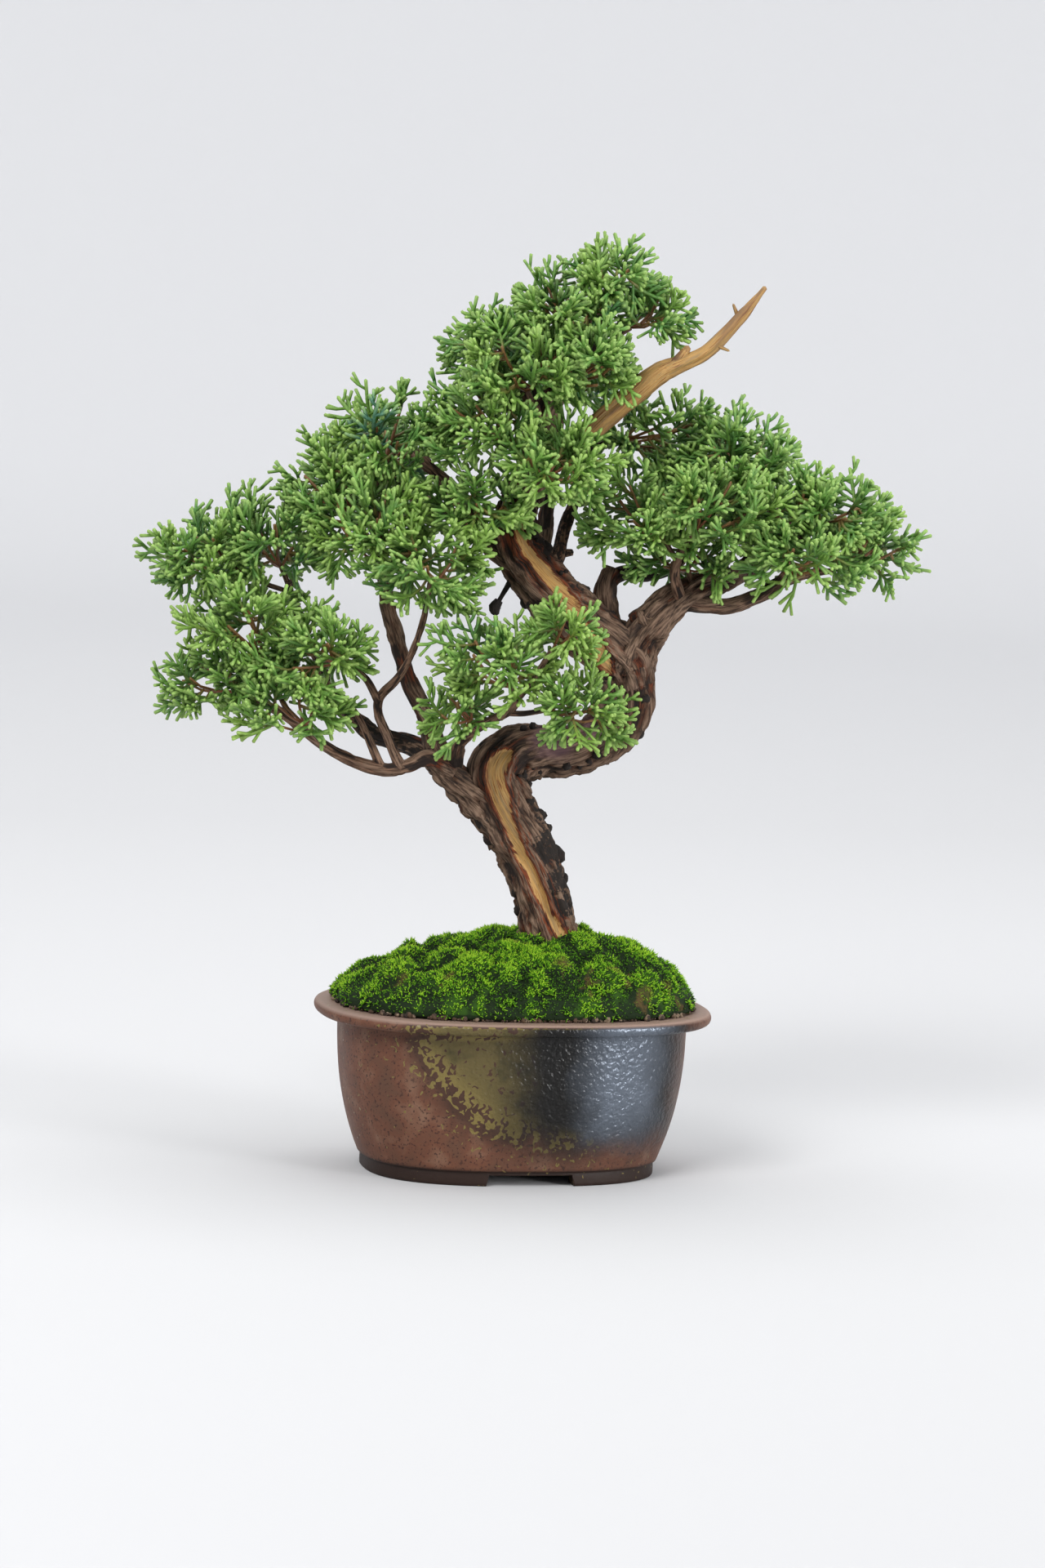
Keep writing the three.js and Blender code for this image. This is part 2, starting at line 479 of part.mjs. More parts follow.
// A spray with its hub, the point where the twig ends and the spray begins
function makeSpray(group, [middle, size, limbName, t], k) {
  const centre = new THREE.Vector3(...middle);
  const reach = new THREE.Vector3(...size);
  const root = limbs[limbName].at(t);
  const limb = limbs[limbName];
  const towards = root.clone().sub(centre);
  const surface = towards.length() / towards.clone().divide(reach).length();
  const fromMiddle = Math.min(HUB_PLACE * surface, towards.length() - limb.radiusAt(t) - TWIG_LEAST);
  const hub = centre.clone().addScaledVector(towards.normalize(), fromMiddle);
  return { name: `${group}_spray_${k + 1}`, group, centre, reach, root, hub, limb, t };
}
const sprays = Object.entries(SPRAYS)
  .flatMap(([group, rows]) => rows.map((row, k) => makeSpray(group, row, k)));

// Each spray keeps to its own side of a plane between it and every other spray
function support(reach, direction) {
  return Math.hypot(reach.x * direction.x, reach.y * direction.y, reach.z * direction.z);
}
for (const spray of sprays) {
  spray.walls = sprays.filter((other) => other !== spray).map((other) => {
    const normal = other.centre.clone().sub(spray.centre);
    const distance = normal.length();
    normal.normalize();
    const own = support(spray.reach, normal);
    const share = own / (own + support(other.reach, normal));
    return { normal, offset: normal.dot(spray.centre) + distance * share };
  });
}

function insideOwnCell(point, spray, margin) {
  return spray.walls.every(({ normal, offset }) => normal.dot(point) < offset - margin);
}

// A hub outside its own cell moves in towards the middle of its spray
const HUB_ROOM = 2;
const HUB_STEPS = 10;
for (const spray of sprays) {
  const step = spray.centre.clone().sub(spray.hub).divideScalar(HUB_STEPS);
  for (let k = 2; k < HUB_STEPS && !insideOwnCell(spray.hub, spray, HUB_ROOM); k += 1) spray.hub.add(step);
}

// A twig ends in line with the middle of its spray
const mainDirection = (centre, hub) => centre.clone().sub(hub).normalize();

// The twig that carries a spray, from its limb to the hub, ending in line with the spray's main shoot
function twigLimb({ root, hub, centre, limb, t }) {
  const inward = mainDirection(centre, hub);
  const before = hub.clone().addScaledVector(inward, -TWIG_END);
  const middle = root.clone().lerp(before, 0.5);
  middle.z -= TWIG_SAG * root.distanceTo(before);
  const start = Math.min(limb.radiusAt(t) * TWIG_ROOT_SHARE, TWIG_MOST_RADIUS);
  const end = TWIG_TIP_RADIUS;
  const rows = [[root, start], [middle, (start + end) / 2], [before, end], [hub, end]];
  return new Limb(rows.map(([point, radius]) => [point.x, point.y, point.z, radius]));
}
for (const spray of sprays) spray.twig = twigLimb(spray);
const twigs = sprays.map((spray) => spray.twig);

// Points on all the wood, for keeping the foliage clear of it
const WOOD_STEP = 1.5;
const RELIEF_ROOM = 1.1;
const woodPoints = [...Object.values(limbs), ...twigs].flatMap((limb) => {
  const count = Math.ceil(limb.curve.getLength() / WOOD_STEP);
  return Array.from({ length: count + 1 }, (_, k) => k / count)
    .map((t) => ({ point: limb.at(t), radius: limb.radiusAt(t) }));
});

function clearOfWood(point, radius) {
  const least = (wood) => (wood.radius + radius) * RELIEF_ROOM + GAP;
  return woodPoints.every((wood) => point.distanceTo(wood.point) > least(wood));
}

// Clear of the spray's other shoots, given as lines from one point to another
function clearOfLines(point, lines) {
  const near = new THREE.Vector3();
  return lines.every((line) => line.closestPointToPoint(point, true, near).distanceTo(point) > SHOOT_SPACING);
}

// How much of a straight shoot of a radius fits from its root towards its tip, in mm
function freeLength(root, tip, radius, spray, lines) {
  const length = root.distanceTo(tip);
  const direction = tip.clone().sub(root).normalize();
  let free = 0;
  for (let s = SPACING_STEP; s <= length + radius; s += SPACING_STEP) {
    const point = root.clone().addScaledVector(direction, s);
    if (!insideOwnCell(point, spray, radius + GAP) || !clearOfWood(point, radius)
      || !clearOfLines(point, lines)) return free - radius;
    free = s;
  }
  return length;
}

// The core's faces: an icosahedron whose corners reach part of the way to the spray's surface, each
// drawn in until the faces round it keep clear of the neighbours and the wood
function coreFaces(spray, seed) {
  const position = new THREE.IcosahedronGeometry(1, 0).getAttribute('position');
  const corners = new Map();
  const faces = [];
  for (let i = 0; i < position.count; i += 1) {
    const way = new THREE.Vector3().fromBufferAttribute(position, i);
    const key = way.toArray().map((v) => v.toFixed(3)).join();
    if (!corners.has(key)) {
      const share = CORE_SHARE * (0.85 + 0.3 * draw(seed, corners.size, 8));
      corners.set(key, { way: way.multiply(spray.reach), share });
    }
    if (i % 3 === 0) faces.push([]);
    faces.at(-1).push(corners.get(key));
  }
  const at = (corner) => spray.centre.clone().addScaledVector(corner.way, corner.share);
  for (let round = 0; round < CORE_ROUNDS; round += 1) {
    for (const face of faces) {
      const near = FACE_SAMPLES.some((shares) => {
        const point = new THREE.Vector3();
        shares.forEach((share, k) => point.addScaledVector(at(face[k]), share));
        return !clearOfWood(point, GAP) || !insideOwnCell(point, spray, GAP);
      });
      if (!near) continue;
      for (const corner of face) {
        corner.share = Math.max(corner.share * CORE_DRAW_IN, CORE_LEAST / corner.way.length());
      }
    }
  }
  const all = [...corners.values()];
  return { points: all.map(at), faces: faces.map((face) => face.map((corner) => all.indexOf(corner))) };
}

// A surface that grows: its points, and its triangles as numbers of points
class Surface {
  constructor(points) {
    this.points = points;
    this.triangles = [];
  }

  add(points) {
    this.points.push(...points);
    return points.map((_, k) => this.points.length - points.length + k);
  }

  tube(from, to) {
    [[0, 1], [1, 2], [2, 0]].forEach(([k, next]) => {
      this.triangles.push([from[k], from[next], to[next]], [from[k], to[next], to[k]]);
    });
  }

  close([a, b, c], tip) {
    this.triangles.push([a, b, tip], [b, c, tip], [c, a, tip]);
  }

  solid() {
    const geometry = new THREE.BufferGeometry();
    const numbers = this.points.flatMap((point) => point.toArray());
    geometry.setAttribute('position', new THREE.Float32BufferAttribute(numbers, 3));
    geometry.setIndex(this.triangles.flat());
    return solid(geometry);
  }
}

function middleOf(points) {
  return points.reduce((sum, point) => sum.add(point), new THREE.Vector3()).divideScalar(points.length);
}

// Three directions square to an axis, towards the corners of a face
function outwards(corners, centre, axis) {
  return corners.map((corner) => corner.clone().sub(centre).projectOnPlane(axis).normalize());
}

// Sets a small triangle in a face and carries it along the axis: [the triangle there, its three directions]
function carry(surface, face, axis, distance, radius) {
  const corners = face.map((i) => surface.points[i]);
  const centre = middleOf(corners);
  const root = surface.add(corners.map((corner) => {
    const size = Math.min(ROOT_RADIUS, 0.6 * corner.distanceTo(centre));
    return centre.clone().addScaledVector(corner.clone().sub(centre).normalize(), size);
  }));
  surface.tube(face, root);
  const outs = outwards(corners, centre, axis);
  const place = centre.clone().addScaledVector(axis, distance);
  const ring = surface.add(outs.map((out) => place.clone().addScaledVector(out, radius)));
  surface.tube(root, ring);
  return [ring, outs];
}

// A shoot with three prongs on a face of the core, out to the spray's surface. False where it has no room.
function growShoot(surface, face, k, spray, seed, lines) {
  const root = middleOf(face.map((i) => surface.points[i]));
  const way = root.clone().sub(spray.centre).divide(spray.reach).normalize();
  if (way.z < SHOOT_LOWEST) return false;
  const tip = spray.centre.clone().addScaledVector(way.multiply(spray.reach), 0.95 + 0.2 * draw(seed, k, 4));
  const turn = new THREE.Vector3(...[1, 2, 3].map((i) => draw(seed, k, i) - 0.5)).normalize();
  const bend = SHOOT_TURN * (2 * draw(seed, k, 7) - 1);
  const axis = tip.clone().sub(root).normalize().applyAxisAngle(turn, bend);
  const end = root.clone().addScaledVector(axis, tip.distanceTo(root));
  const length = freeLength(root, end, FORK_RADIUS, spray, lines);
  if (length < SHOOT_LEAST) return false;
  const [ring, outs] = carry(surface, face, axis, length * FORK_PLACE, FORK_RADIUS);
  const fork = root.clone().addScaledVector(axis, length * FORK_PLACE);
  const [knot] = surface.add([fork.clone().addScaledVector(axis, FORK_RISE)]);
  const ends = [0, 1, 2].map((i) => {
    const out = outs[i].clone().add(outs[(i + 1) % 3]).normalize();
    const lean = PRONG_ANGLE * (0.7 + 0.6 * draw(seed, k, 10 + i));
    const direction = axis.clone().multiplyScalar(Math.cos(lean)).addScaledVector(out, Math.sin(lean));
    const full = length * (1 - FORK_PLACE) * (0.85 + 0.3 * draw(seed, k, 20 + i));
    const free = freeLength(fork, fork.clone().addScaledVector(direction, full), PRONG_RADIUS, spray, lines);
    return fork.clone().addScaledVector(direction, Math.max(PRONG_LEAST, free));
  });
  surface.add(ends).forEach((point, i) => surface.close([ring[i], ring[(i + 1) % 3], knot], point));
  lines.push(new THREE.Line3(root, fork), ...ends.map((point) => new THREE.Line3(fork, point)));
  return true;
}

// The spray's stem: from the face nearest the hub to just short of the end of the twig
function growStem(surface, face, spray, lines) {
  const centre = middleOf(face.map((i) => surface.points[i]));
  const end = spray.hub.clone().addScaledVector(mainDirection(spray.centre, spray.hub), GAP + 0.15);
  const axis = end.clone().sub(centre).normalize();
  const [ring] = carry(surface, face, axis, end.distanceTo(centre), STEM_RADIUS);
  surface.triangles.push(ring);
  lines.push(new THREE.Line3(centre, end));
}

function spraySolid(spray, seed) {
  const { points, faces } = coreFaces(spray, seed);
  const surface = new Surface(points);
  const towardsHub = spray.hub.clone().sub(spray.centre).normalize();
  const facing = (face) => middleOf(face.map((i) => points[i])).sub(spray.centre).normalize().dot(towardsHub);
  const [stemFace, ...others] = faces.slice().sort((a, b) => facing(b) - facing(a));
  const lines = [];
  growStem(surface, stemFace, spray, lines);
  others.forEach((face, k) => {
    if (!growShoot(surface, face, k, spray, seed, lines)) surface.triangles.push(face);
  });
  return surface.solid();
}

// The hole that the trunk stands in, a little wider than the trunk, in the pot's frame
function trunkHoleSolid() {
  const lower = new Limb(LIMBS.trunk.slice(0, 6).map(([x, y, z, r], k) => [x, y, k ? z : z - 1, r + 1.6]));
  return solid(limbGeometry(lower, 13, 10).rotateZ(TREE_TURN));
}

const wood = joined([
  ...Object.entries(limbs).map(([name, limb]) => limbSolid(name, limb)),
  ...twigs.map((limb) => solid(limbGeometry(limb, TWIG_SIDES, TWIG_RINGS))),
  ...noduleSolids(),
]);
const trunkHole = trunkHoleSolid();

const planter = new THREE.Group();
planter.add(
  piece('pot', makePot(), COLOURS.pot, 0.45),
  piece('drain_screen_left', makeScreen(-1), COLOURS.screen, 0.6),
  piece('drain_screen_right', makeScreen(1), COLOURS.screen, 0.6),
  piece('soil', makeSoil(trunkHole), COLOURS.soil, 1),
  piece('moss', makeMoss(trunkHole), COLOURS.moss, 1),
);

const tree = new THREE.Group();
tree.rotation.z = TREE_TURN;
tree.add(piece('juniper_wood', wood, COLOURS.wood, 0.85));
sprays.forEach((spray, k) => {
  tree.add(piece(spray.name, spraySolid(spray, k + 1), COLOURS[spray.group], 0.7));
});

// The origin is under the middle of the whole bonsai, on the surface it stands on
const bonsai = new THREE.Group();
bonsai.add(planter, tree);
bonsai.updateMatrixWorld(true);
const bounds = new THREE.Box3().setFromObject(bonsai, true);
const middle = bounds.getCenter(new THREE.Vector3());
bonsai.position.set(-middle.x, -middle.y, 0);

export default bonsai;
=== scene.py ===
"""Dresses a packed shimpaku juniper bonsai: foliage, bark and bare wood, moss, grit and a stoneware pot.

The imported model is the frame. Sizes are worked out in millimetres and go into the meshes in metres. The
tree has its own turned frame, in which x runs to the viewer's right, y away and z up. The pot's long side
lies along X and its front faces -Y.
"""

from __future__ import annotations

import logging
import math
from dataclasses import dataclass, field
from enum import Enum
from typing import Any

import bpy
import numpy as np
from mathutils import Euler, Matrix, Vector

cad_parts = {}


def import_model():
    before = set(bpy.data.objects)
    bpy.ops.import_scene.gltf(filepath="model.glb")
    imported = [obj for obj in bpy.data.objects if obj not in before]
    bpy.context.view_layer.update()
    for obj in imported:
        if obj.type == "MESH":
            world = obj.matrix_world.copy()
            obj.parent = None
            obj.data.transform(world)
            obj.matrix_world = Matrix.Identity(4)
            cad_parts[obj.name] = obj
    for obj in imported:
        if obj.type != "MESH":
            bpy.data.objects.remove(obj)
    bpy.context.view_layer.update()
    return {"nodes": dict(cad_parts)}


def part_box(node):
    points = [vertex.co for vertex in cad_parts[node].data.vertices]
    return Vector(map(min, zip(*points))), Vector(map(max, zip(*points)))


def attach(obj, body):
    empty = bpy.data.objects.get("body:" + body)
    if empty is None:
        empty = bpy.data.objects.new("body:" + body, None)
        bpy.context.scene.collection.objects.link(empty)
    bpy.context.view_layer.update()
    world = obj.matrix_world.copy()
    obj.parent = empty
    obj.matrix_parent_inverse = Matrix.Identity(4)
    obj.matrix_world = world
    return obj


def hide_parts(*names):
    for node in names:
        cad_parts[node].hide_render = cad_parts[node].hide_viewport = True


Array = np.ndarray
Socket = bpy.types.NodeSocket
log = logging.getLogger("bonsai")

MM = 0.001
TREE_TURN = math.radians(-14)
GOLDEN_ANGLE = math.pi * (3 - math.sqrt(5))

# Wood limbs: [x, y, z, radius] along each centre line, from its parent outwards, in the tree's frame
LIMBS: dict[str, list[list[float]]] = {
    "trunk": [[17.5, 1, 47, 9.9], [16.6, 0, 55, 9.7], [13.4, 0, 66, 9.4], [10.8, 0, 76, 9.1],
              [7.8, -1, 90, 8.4], [3.5, -3, 103.4, 8.6], [-2.1, -4, 114.3, 9.2], [-6.5, -4, 123.6, 9.5],
              [-8.0, -3, 131.4, 9.0], [-3.1, -1, 137.2, 8.6], [4.9, 1, 138.9, 8.0], [15.5, 2, 139.5, 7.6],
              [22.9, 3, 142.2, 7.6], [29.1, 3, 146.9, 7.8], [32.6, 2.5, 153.4, 7.8], [33.2, 2, 159.7, 7.8],
              [31.5, 1, 167.5, 8.8]],
    "leader": [[33, 1.5, 161, 7.4], [31.5, 1, 167.5, 8.6], [25.3, 0, 174.8, 9.0], [14.8, 0, 182.9, 8.9],
               [7.4, 0, 189.6, 8.7], [1.0, 0, 197.3, 8.4], [-4.2, 1, 205.6, 7.6], [-5.6, 2, 214.3, 6.4],
               [-4.2, 3, 223.5, 5.2]],
    "apex": [[-4.8, 2.7, 220, 5.4], [-1, 4, 233, 4.4], [0.3, 4, 243.6, 3.8], [7.1, 3, 258.6, 3.1],
             [15.1, 3, 269, 2.4], [18.5, 2, 281.6, 1.7], [22.6, 2, 288, 1.2]],
    "jin": [[-4.5, 3, 219, 4.2], [-1, 2, 227.5, 3.9], [6, 0, 234.2, 3.4], [12.4, -2, 239.6, 3.4],
            [21.8, -3, 248.5, 3.5], [31, -3, 256.8, 3.7], [39, -3, 263.6, 3.6], [45.4, -3, 266.8, 2.7],
            [53.4, -3, 271.3, 2.2], [64.7, -2, 283.6, 1.8], [71.4, -2, 292.6, 0.7]],
    "jin_knob": [[42, -3, 265, 1.9], [46.2, -3.4, 270.2, 1.6], [47.4, -3.5, 272.4, 0.9]],
    "jin_splinter_low": [[56, -3, 273.5, 0.8], [60.5, -4, 271.8, 0.4]],
    "jin_splinter_high": [[63.5, -2, 282, 0.8], [61.5, -2.5, 286.6, 0.35]],
    "apex_left": [[0.2, 4, 242, 2.2], [-4, 3, 254, 1.6], [-7.4, 2, 260.9, 1.3], [-10.5, 1, 266, 0.9]],
    "centre_left": [[0, 0, 198, 4.4], [-10, 1, 203, 3.7], [-17, 3, 210, 3.1], [-24, 4, 219, 2.6],
                    [-32, 5, 227, 2.0], [-40, 5, 234, 1.4]],
    "centre_front": [[-5, 2, 214, 2.6], [-3, -6, 219, 2.0], [0, -13, 223, 1.5], [2, -18, 226, 1.1]],
    "back": [[3, 3, 193, 4.0], [2, 15, 200, 3.2], [4, 27, 213, 2.5], [5, 35, 230, 1.9], [7, 39, 247, 1.3]],
    "back_left": [[-17, 3, 210, 2.4], [-29, 14, 215, 2.1], [-43, 24, 220, 1.7], [-53, 28, 224, 1.1]],
    "dark": [[4, 4, 195, 2.8], [8.3, 6, 201.7, 2.3], [9.6, 10, 209.1, 2.1], [12.8, 12, 219.8, 1.8],
             [16.3, 14, 233.3, 1.5], [21, 15, 241, 1.2]],
    "dark_stub": [[9, 7, 203, 1.5], [13, 6, 203.8, 1.1]],
    "dead_twig": [[-5, 0, 197, 1.2], [-9.3, -2, 189.2, 0.8], [-10.6, -3, 186.7, 0.8]],
    "dead_twig_burr": [[-10.3, -3, 187.6, 1.2], [-11.6, -3.4, 185.2, 2.1], [-11, -4, 183, 1.0]],
    "right": [[31, 1, 166, 7.2], [36, 0, 177, 6.2], [41.6, 0, 183.8, 5.6], [47.5, 2, 189, 4.9],
              [53.3, 4, 192.6, 4.1], [63.9, 8, 197.3, 3.3], [74.5, 12, 204, 2.6], [83.7, 14, 210.8, 1.9],
              [90, 13, 214, 1.3]],
    "right_knob": [[39, 0, 180, 4.9], [35.7, -1, 186.2, 4.2]],
    "right_low": [[50, 2, 190, 3.0], [56, 1, 188.6, 2.6], [64.6, 0, 188.8, 2.3], [73.9, -2, 192.3, 2.4],
                  [80.8, -3, 197.4, 2.2], [89.4, -3, 200.4, 1.5], [98, -2, 201.7, 1.0]],
    "right_rise": [[49, 0, 190, 2.1], [46.5, -5, 198, 1.6], [47.5, -8, 205, 1.3], [50, -10, 210, 1.0]],
    "stub": [[28.5, 2, 170, 4.6], [25.4, 6, 182, 3.8], [25, 8, 193.7, 3.5], [26.8, 9, 198.8, 3.3]],
    "stub_side": [[26, 8.5, 195.6, 2.8], [31, 12, 197.5, 2.5], [38, 16, 196.6, 2.2], [46, 22, 198.5, 1.8],
                  [53, 34, 206, 1.4], [56, 40, 212, 1.0]],
    "left": [[-4, -3, 111, 6.4], [-12, -4, 120, 5.9], [-18, -5, 125.3, 5.3], [-25, -6, 131.5, 4.8],
             [-29.5, -7, 137.5, 4.2]],
    "left_tall": [[-28.5, -6.8, 135, 3.9], [-30.5, -7, 143, 3.4], [-33, -7, 150, 3.0],
                  [-37.8, -6, 158.5, 2.8], [-41.5, -5, 168.7, 2.6], [-44.9, -4, 179.5, 2.3],
                  [-48, -3, 191.3, 2.1], [-50.8, -1, 204.4, 1.8], [-52.4, 2, 216.1, 1.4],
                  [-51, 4, 226, 1.1]],
    "left_back": [[-26, -5, 133, 4.0], [-35.5, -2, 138, 3.2], [-42, 1, 139.8, 3.0], [-48.9, 4, 141.1, 2.6],
                  [-55.4, 7, 145.7, 2.3], [-63, 10, 152.1, 1.9], [-70.4, 12, 166.4, 1.6],
                  [-77.8, 11, 182.2, 1.4], [-80, 8, 190, 1.1]],
    "left_front": [[-24, -8, 132, 3.4], [-31.7, -12, 135.5, 2.4], [-37.3, -15, 133.3, 2.2],
                   [-46.2, -17, 132.3, 1.9], [-57.7, -18, 135.6, 1.7], [-65.5, -19, 139.9, 1.6],
                   [-73, -19, 145, 1.4], [-81, -18, 150, 1.2], [-90, -16, 153.5, 1.0]],
    "left_rise": [[-40, -15.6, 132.6, 1.9], [-44.5, -18, 143.1, 1.6], [-47.7, -19, 150.5, 1.5],
                  [-47.6, -19, 155.2, 1.5], [-42.8, -20, 160.8, 1.3], [-39.3, -20, 166.3, 1.2],
                  [-36.4, -21, 173.4, 1.1], [-34.4, -22, 181, 1.0], [-33, -22, 189, 0.9]],
    "left_fork": [[-47.6, -19, 154, 1.4], [-52, -20, 161.5, 1.2], [-57, -22, 165, 0.9]],
    "left_inner": [[-46.5, -17, 133, 1.5], [-50, -18.5, 141, 1.2], [-54, -20, 149, 1.0],
                   [-60, -22.5, 157, 0.8]],
    "front": [[-23, -7, 134, 3.0], [-20.5, -17, 143, 2.0], [-11.4, -27, 150, 1.6], [-5.5, -32, 154, 1.4],
              [-3, -34, 158, 1.1]],
}

# Foliage sprays: [x, y, z] of the middle, [half width, half depth, half height], the limb that feeds each
# one and the place along it, from 0 to 1
SPRAYS: dict[str, list[tuple[list[float], list[float], str, float]]] = {
    "left": [
        ([-109, -2, 200], [18.5, 23, 15], "left_back", 0.94),
        ([-87, 4, 206], [21, 25, 17], "left_back", 1),
        ([-67, 6, 223], [18.5, 25, 15], "left_tall", 0.76),
        ([-91, -18, 178], [22.5, 24, 16], "left_front", 0.78),
        ([-102, -14, 159], [20, 21, 13.5], "left_front", 1),
        ([-70, -26, 170], [20, 23, 17], "left_fork", 1),
        ([-77, -30, 153], [20, 20, 12], "left_front", 0.62), ([-45, 4, 242], [21, 25, 16], "left_tall", 1),
        ([-54, -12, 213], [22, 22, 20], "left_tall", 0.6), ([-32, -22, 200], [22, 22, 17], "left_rise", 1),
        ([-55, 36, 229], [22, 25, 15.5], "back_left", 1)],
    "crown": [
        ([-15, 4, 269], [17, 22, 15], "apex_left", 1), ([7, 2, 286], [18, 22, 14], "apex", 0.66),
        ([24, 4, 294], [16, 20, 14.5], "apex", 1), ([36, 9, 283], [14, 18, 11], "apex", 0.64),
        ([-4, -17, 266], [22, 21, 16], "apex", 0.35), ([17, -13, 266], [19, 21, 17], "apex", 0.5),
        ([6, 42, 264], [25, 26, 18], "back", 1)],
    "centre": [
        ([-18, -11, 247], [22, 22, 17], "apex", 0.18), ([6, -25, 234], [21, 20, 17], "centre_front", 1),
        ([-17, -14, 219], [20, 20, 14], "centre_left", 0.4)],
    "right": [
        ([42, 20, 243], [21, 23, 15], "dark", 1), ([62.5, 14, 239], [21.5, 25, 16], "right", 0.72),
        ([34, -6, 219], [22, 22, 18], "right_rise", 0.6), ([59, -12, 222], [24, 22, 17], "right_rise", 1),
        ([80, 4, 222], [22.5, 23, 16.5], "right", 0.9), ([99.5, 1, 221], [18, 21, 13.5], "right", 1),
        ([112, 5, 210], [16, 19, 13], "right_low", 1), ([50, 3, 203], [19, 20, 12], "right", 0.5),
        ([87, -11, 208], [22, 20, 12], "right_low", 0.62), ([60, 48, 226], [28, 27, 19], "stub_side", 1)],
    "front": [
        ([-10, -38, 172], [20, 19, 15], "front", 1), ([12, -45, 182], [14, 14, 12], "front", 0.86),
        ([19, -40, 157], [15.5, 17, 15], "front", 0.72), ([-21, -34, 155], [13.5, 15, 12.5], "front", 0.4)],
}


def linear(code: str) -> tuple[float, float, float, float]:
    """Turns an sRGB hex colour into linear light.

    Args:
        code: Six hex digits.

    Returns:
        Red, green, blue and an alpha of 1.
    """
    parts = [int(code[i:i + 2], 16) / 255 for i in (0, 2, 4)]
    light = [p / 12.92 if p <= 0.04045 else ((p + 0.055) / 1.055) ** 2.4 for p in parts]
    return light[0], light[1], light[2], 1.0


def draw(i: Array | float, j: Array | float, k: Array | float) -> Array:
    """A draw between 0 and 1 that is always the same for the same three numbers.

    Args:
        i: First number, or an array of them.
        j: Second number.
        k: Third number.

    Returns:
        The fractional part of a large sine wave at the three numbers.
    """
    wave = np.sin(np.asarray(i) * 12.9898 + np.asarray(j) * 78.233 + np.asarray(k) * 37.719) * 43758.5453
    return wave - np.floor(wave)


def unit(vectors: Array) -> Array:
    """Each vector over its own length."""
    return vectors / np.maximum(np.linalg.norm(vectors, axis=-1, keepdims=True), 1e-9)


def ease(low: float, high: float, x: Array) -> Array:
    """A smooth step from 0 at low to 1 at high: three times the square less twice the cube."""
    s = np.clip((x - low) / (high - low), 0, 1)
    return s * s * (3 - 2 * s)


def lattice(cells: Array, seed: int) -> Array:
    """A draw between 0 and 1 for each whole-number cell, by multiplying and shifting its numbers.

    Args:
        cells: Whole numbers, with three in the last axis.
        seed: Number that sets the draw.

    Returns:
        One draw for each cell.
    """
    c = cells.astype(np.int64).astype(np.uint32)
    h = (c[..., 0] * np.uint32(374761393) + c[..., 1] * np.uint32(668265263)
         + c[..., 2] * np.uint32(2246822519))
    h = h + np.uint32((seed * 974634777) & 0xFFFFFFFF)
    h = (h ^ (h >> np.uint32(13))) * np.uint32(1274126177)
    h = h ^ (h >> np.uint32(16))
    return h.astype(np.float64) / 4294967295.0


def noise(points: Array, seed: int = 0) -> Array:
    """Smooth noise from -1 to 1: the draws at a cell's eight corners, mixed by eased shares.

    Args:
        points: Places, with three numbers in the last axis. Cells are 1 wide.
        seed: Number that sets the draw.

    Returns:
        One value for each place.
    """
    cell = np.floor(points)
    f = points - cell
    f = f * f * (3 - 2 * f)
    total = np.zeros(points.shape[:-1])
    for corner in range(8):
        step = np.array([corner & 1, corner >> 1 & 1, corner >> 2 & 1])
        share = np.prod(np.where(step == 1, f, 1 - f), axis=-1)
        total += share * lattice(cell + step, seed)
    return 2 * total - 1


def layered_noise(points: Array, layers: int, seed: int = 0) -> Array:
    """Noise in layers, each twice as fine and half as strong as the last."""
    return sum(noise(points * 2 ** k, seed + 17 * k) * 0.5 ** k for k in range(layers))


def circle(count: int) -> Array:
    """Angles all round a circle, evenly spaced."""
    return np.arange(count) * 2 * math.pi / count


def polar(reach: Array, angle: Array, *rest: Array) -> Array:
    """Places at a distance and an angle from the axis, with any further coordinates after x and y."""
    return np.stack([reach * np.cos(angle), reach * np.sin(angle), *rest], axis=-1)


def spokes(side: Array, other: Array, angle: Array) -> Array:
    """The directions at the angles round each pair of vectors, which are square to each other."""
    return side[:, None] * np.cos(angle)[None, :, None] + other[:, None] * np.sin(angle)[None, :, None]


def level(points: Array) -> Array:
    """The places brought to height 0."""
    return np.concatenate([points[..., :2], np.zeros(points.shape[:-1] + (1,))], axis=-1)


def ball(rows: int, columns: int) -> Array:
    """Points of a ball of radius 1: rings from its bottom to its top, then its lower and its upper pole.

    Args:
        rows: How many rings.
        columns: Points in each ring.

    Returns:
        The points in one list.
    """
    down = np.linspace(0, math.pi, rows + 2)[1:-1]
    p, a = np.meshgrid(down, circle(columns), indexing="ij")
    rings = np.stack([np.sin(p) * np.cos(a), np.sin(p) * np.sin(a), -np.cos(p)], axis=-1)
    return np.concatenate([rings.reshape(-1, 3), [[0, 0, -1], [0, 0, 1]]])


def write_values(mesh: bpy.types.Mesh, values: dict[str, Array]) -> None:
    """Writes one number for each point of a mesh, under each name."""
    for name, value in values.items():
        layer = mesh.attributes.new(name, "FLOAT", "POINT")
        layer.data.foreach_set("value", value.astype(np.float32))


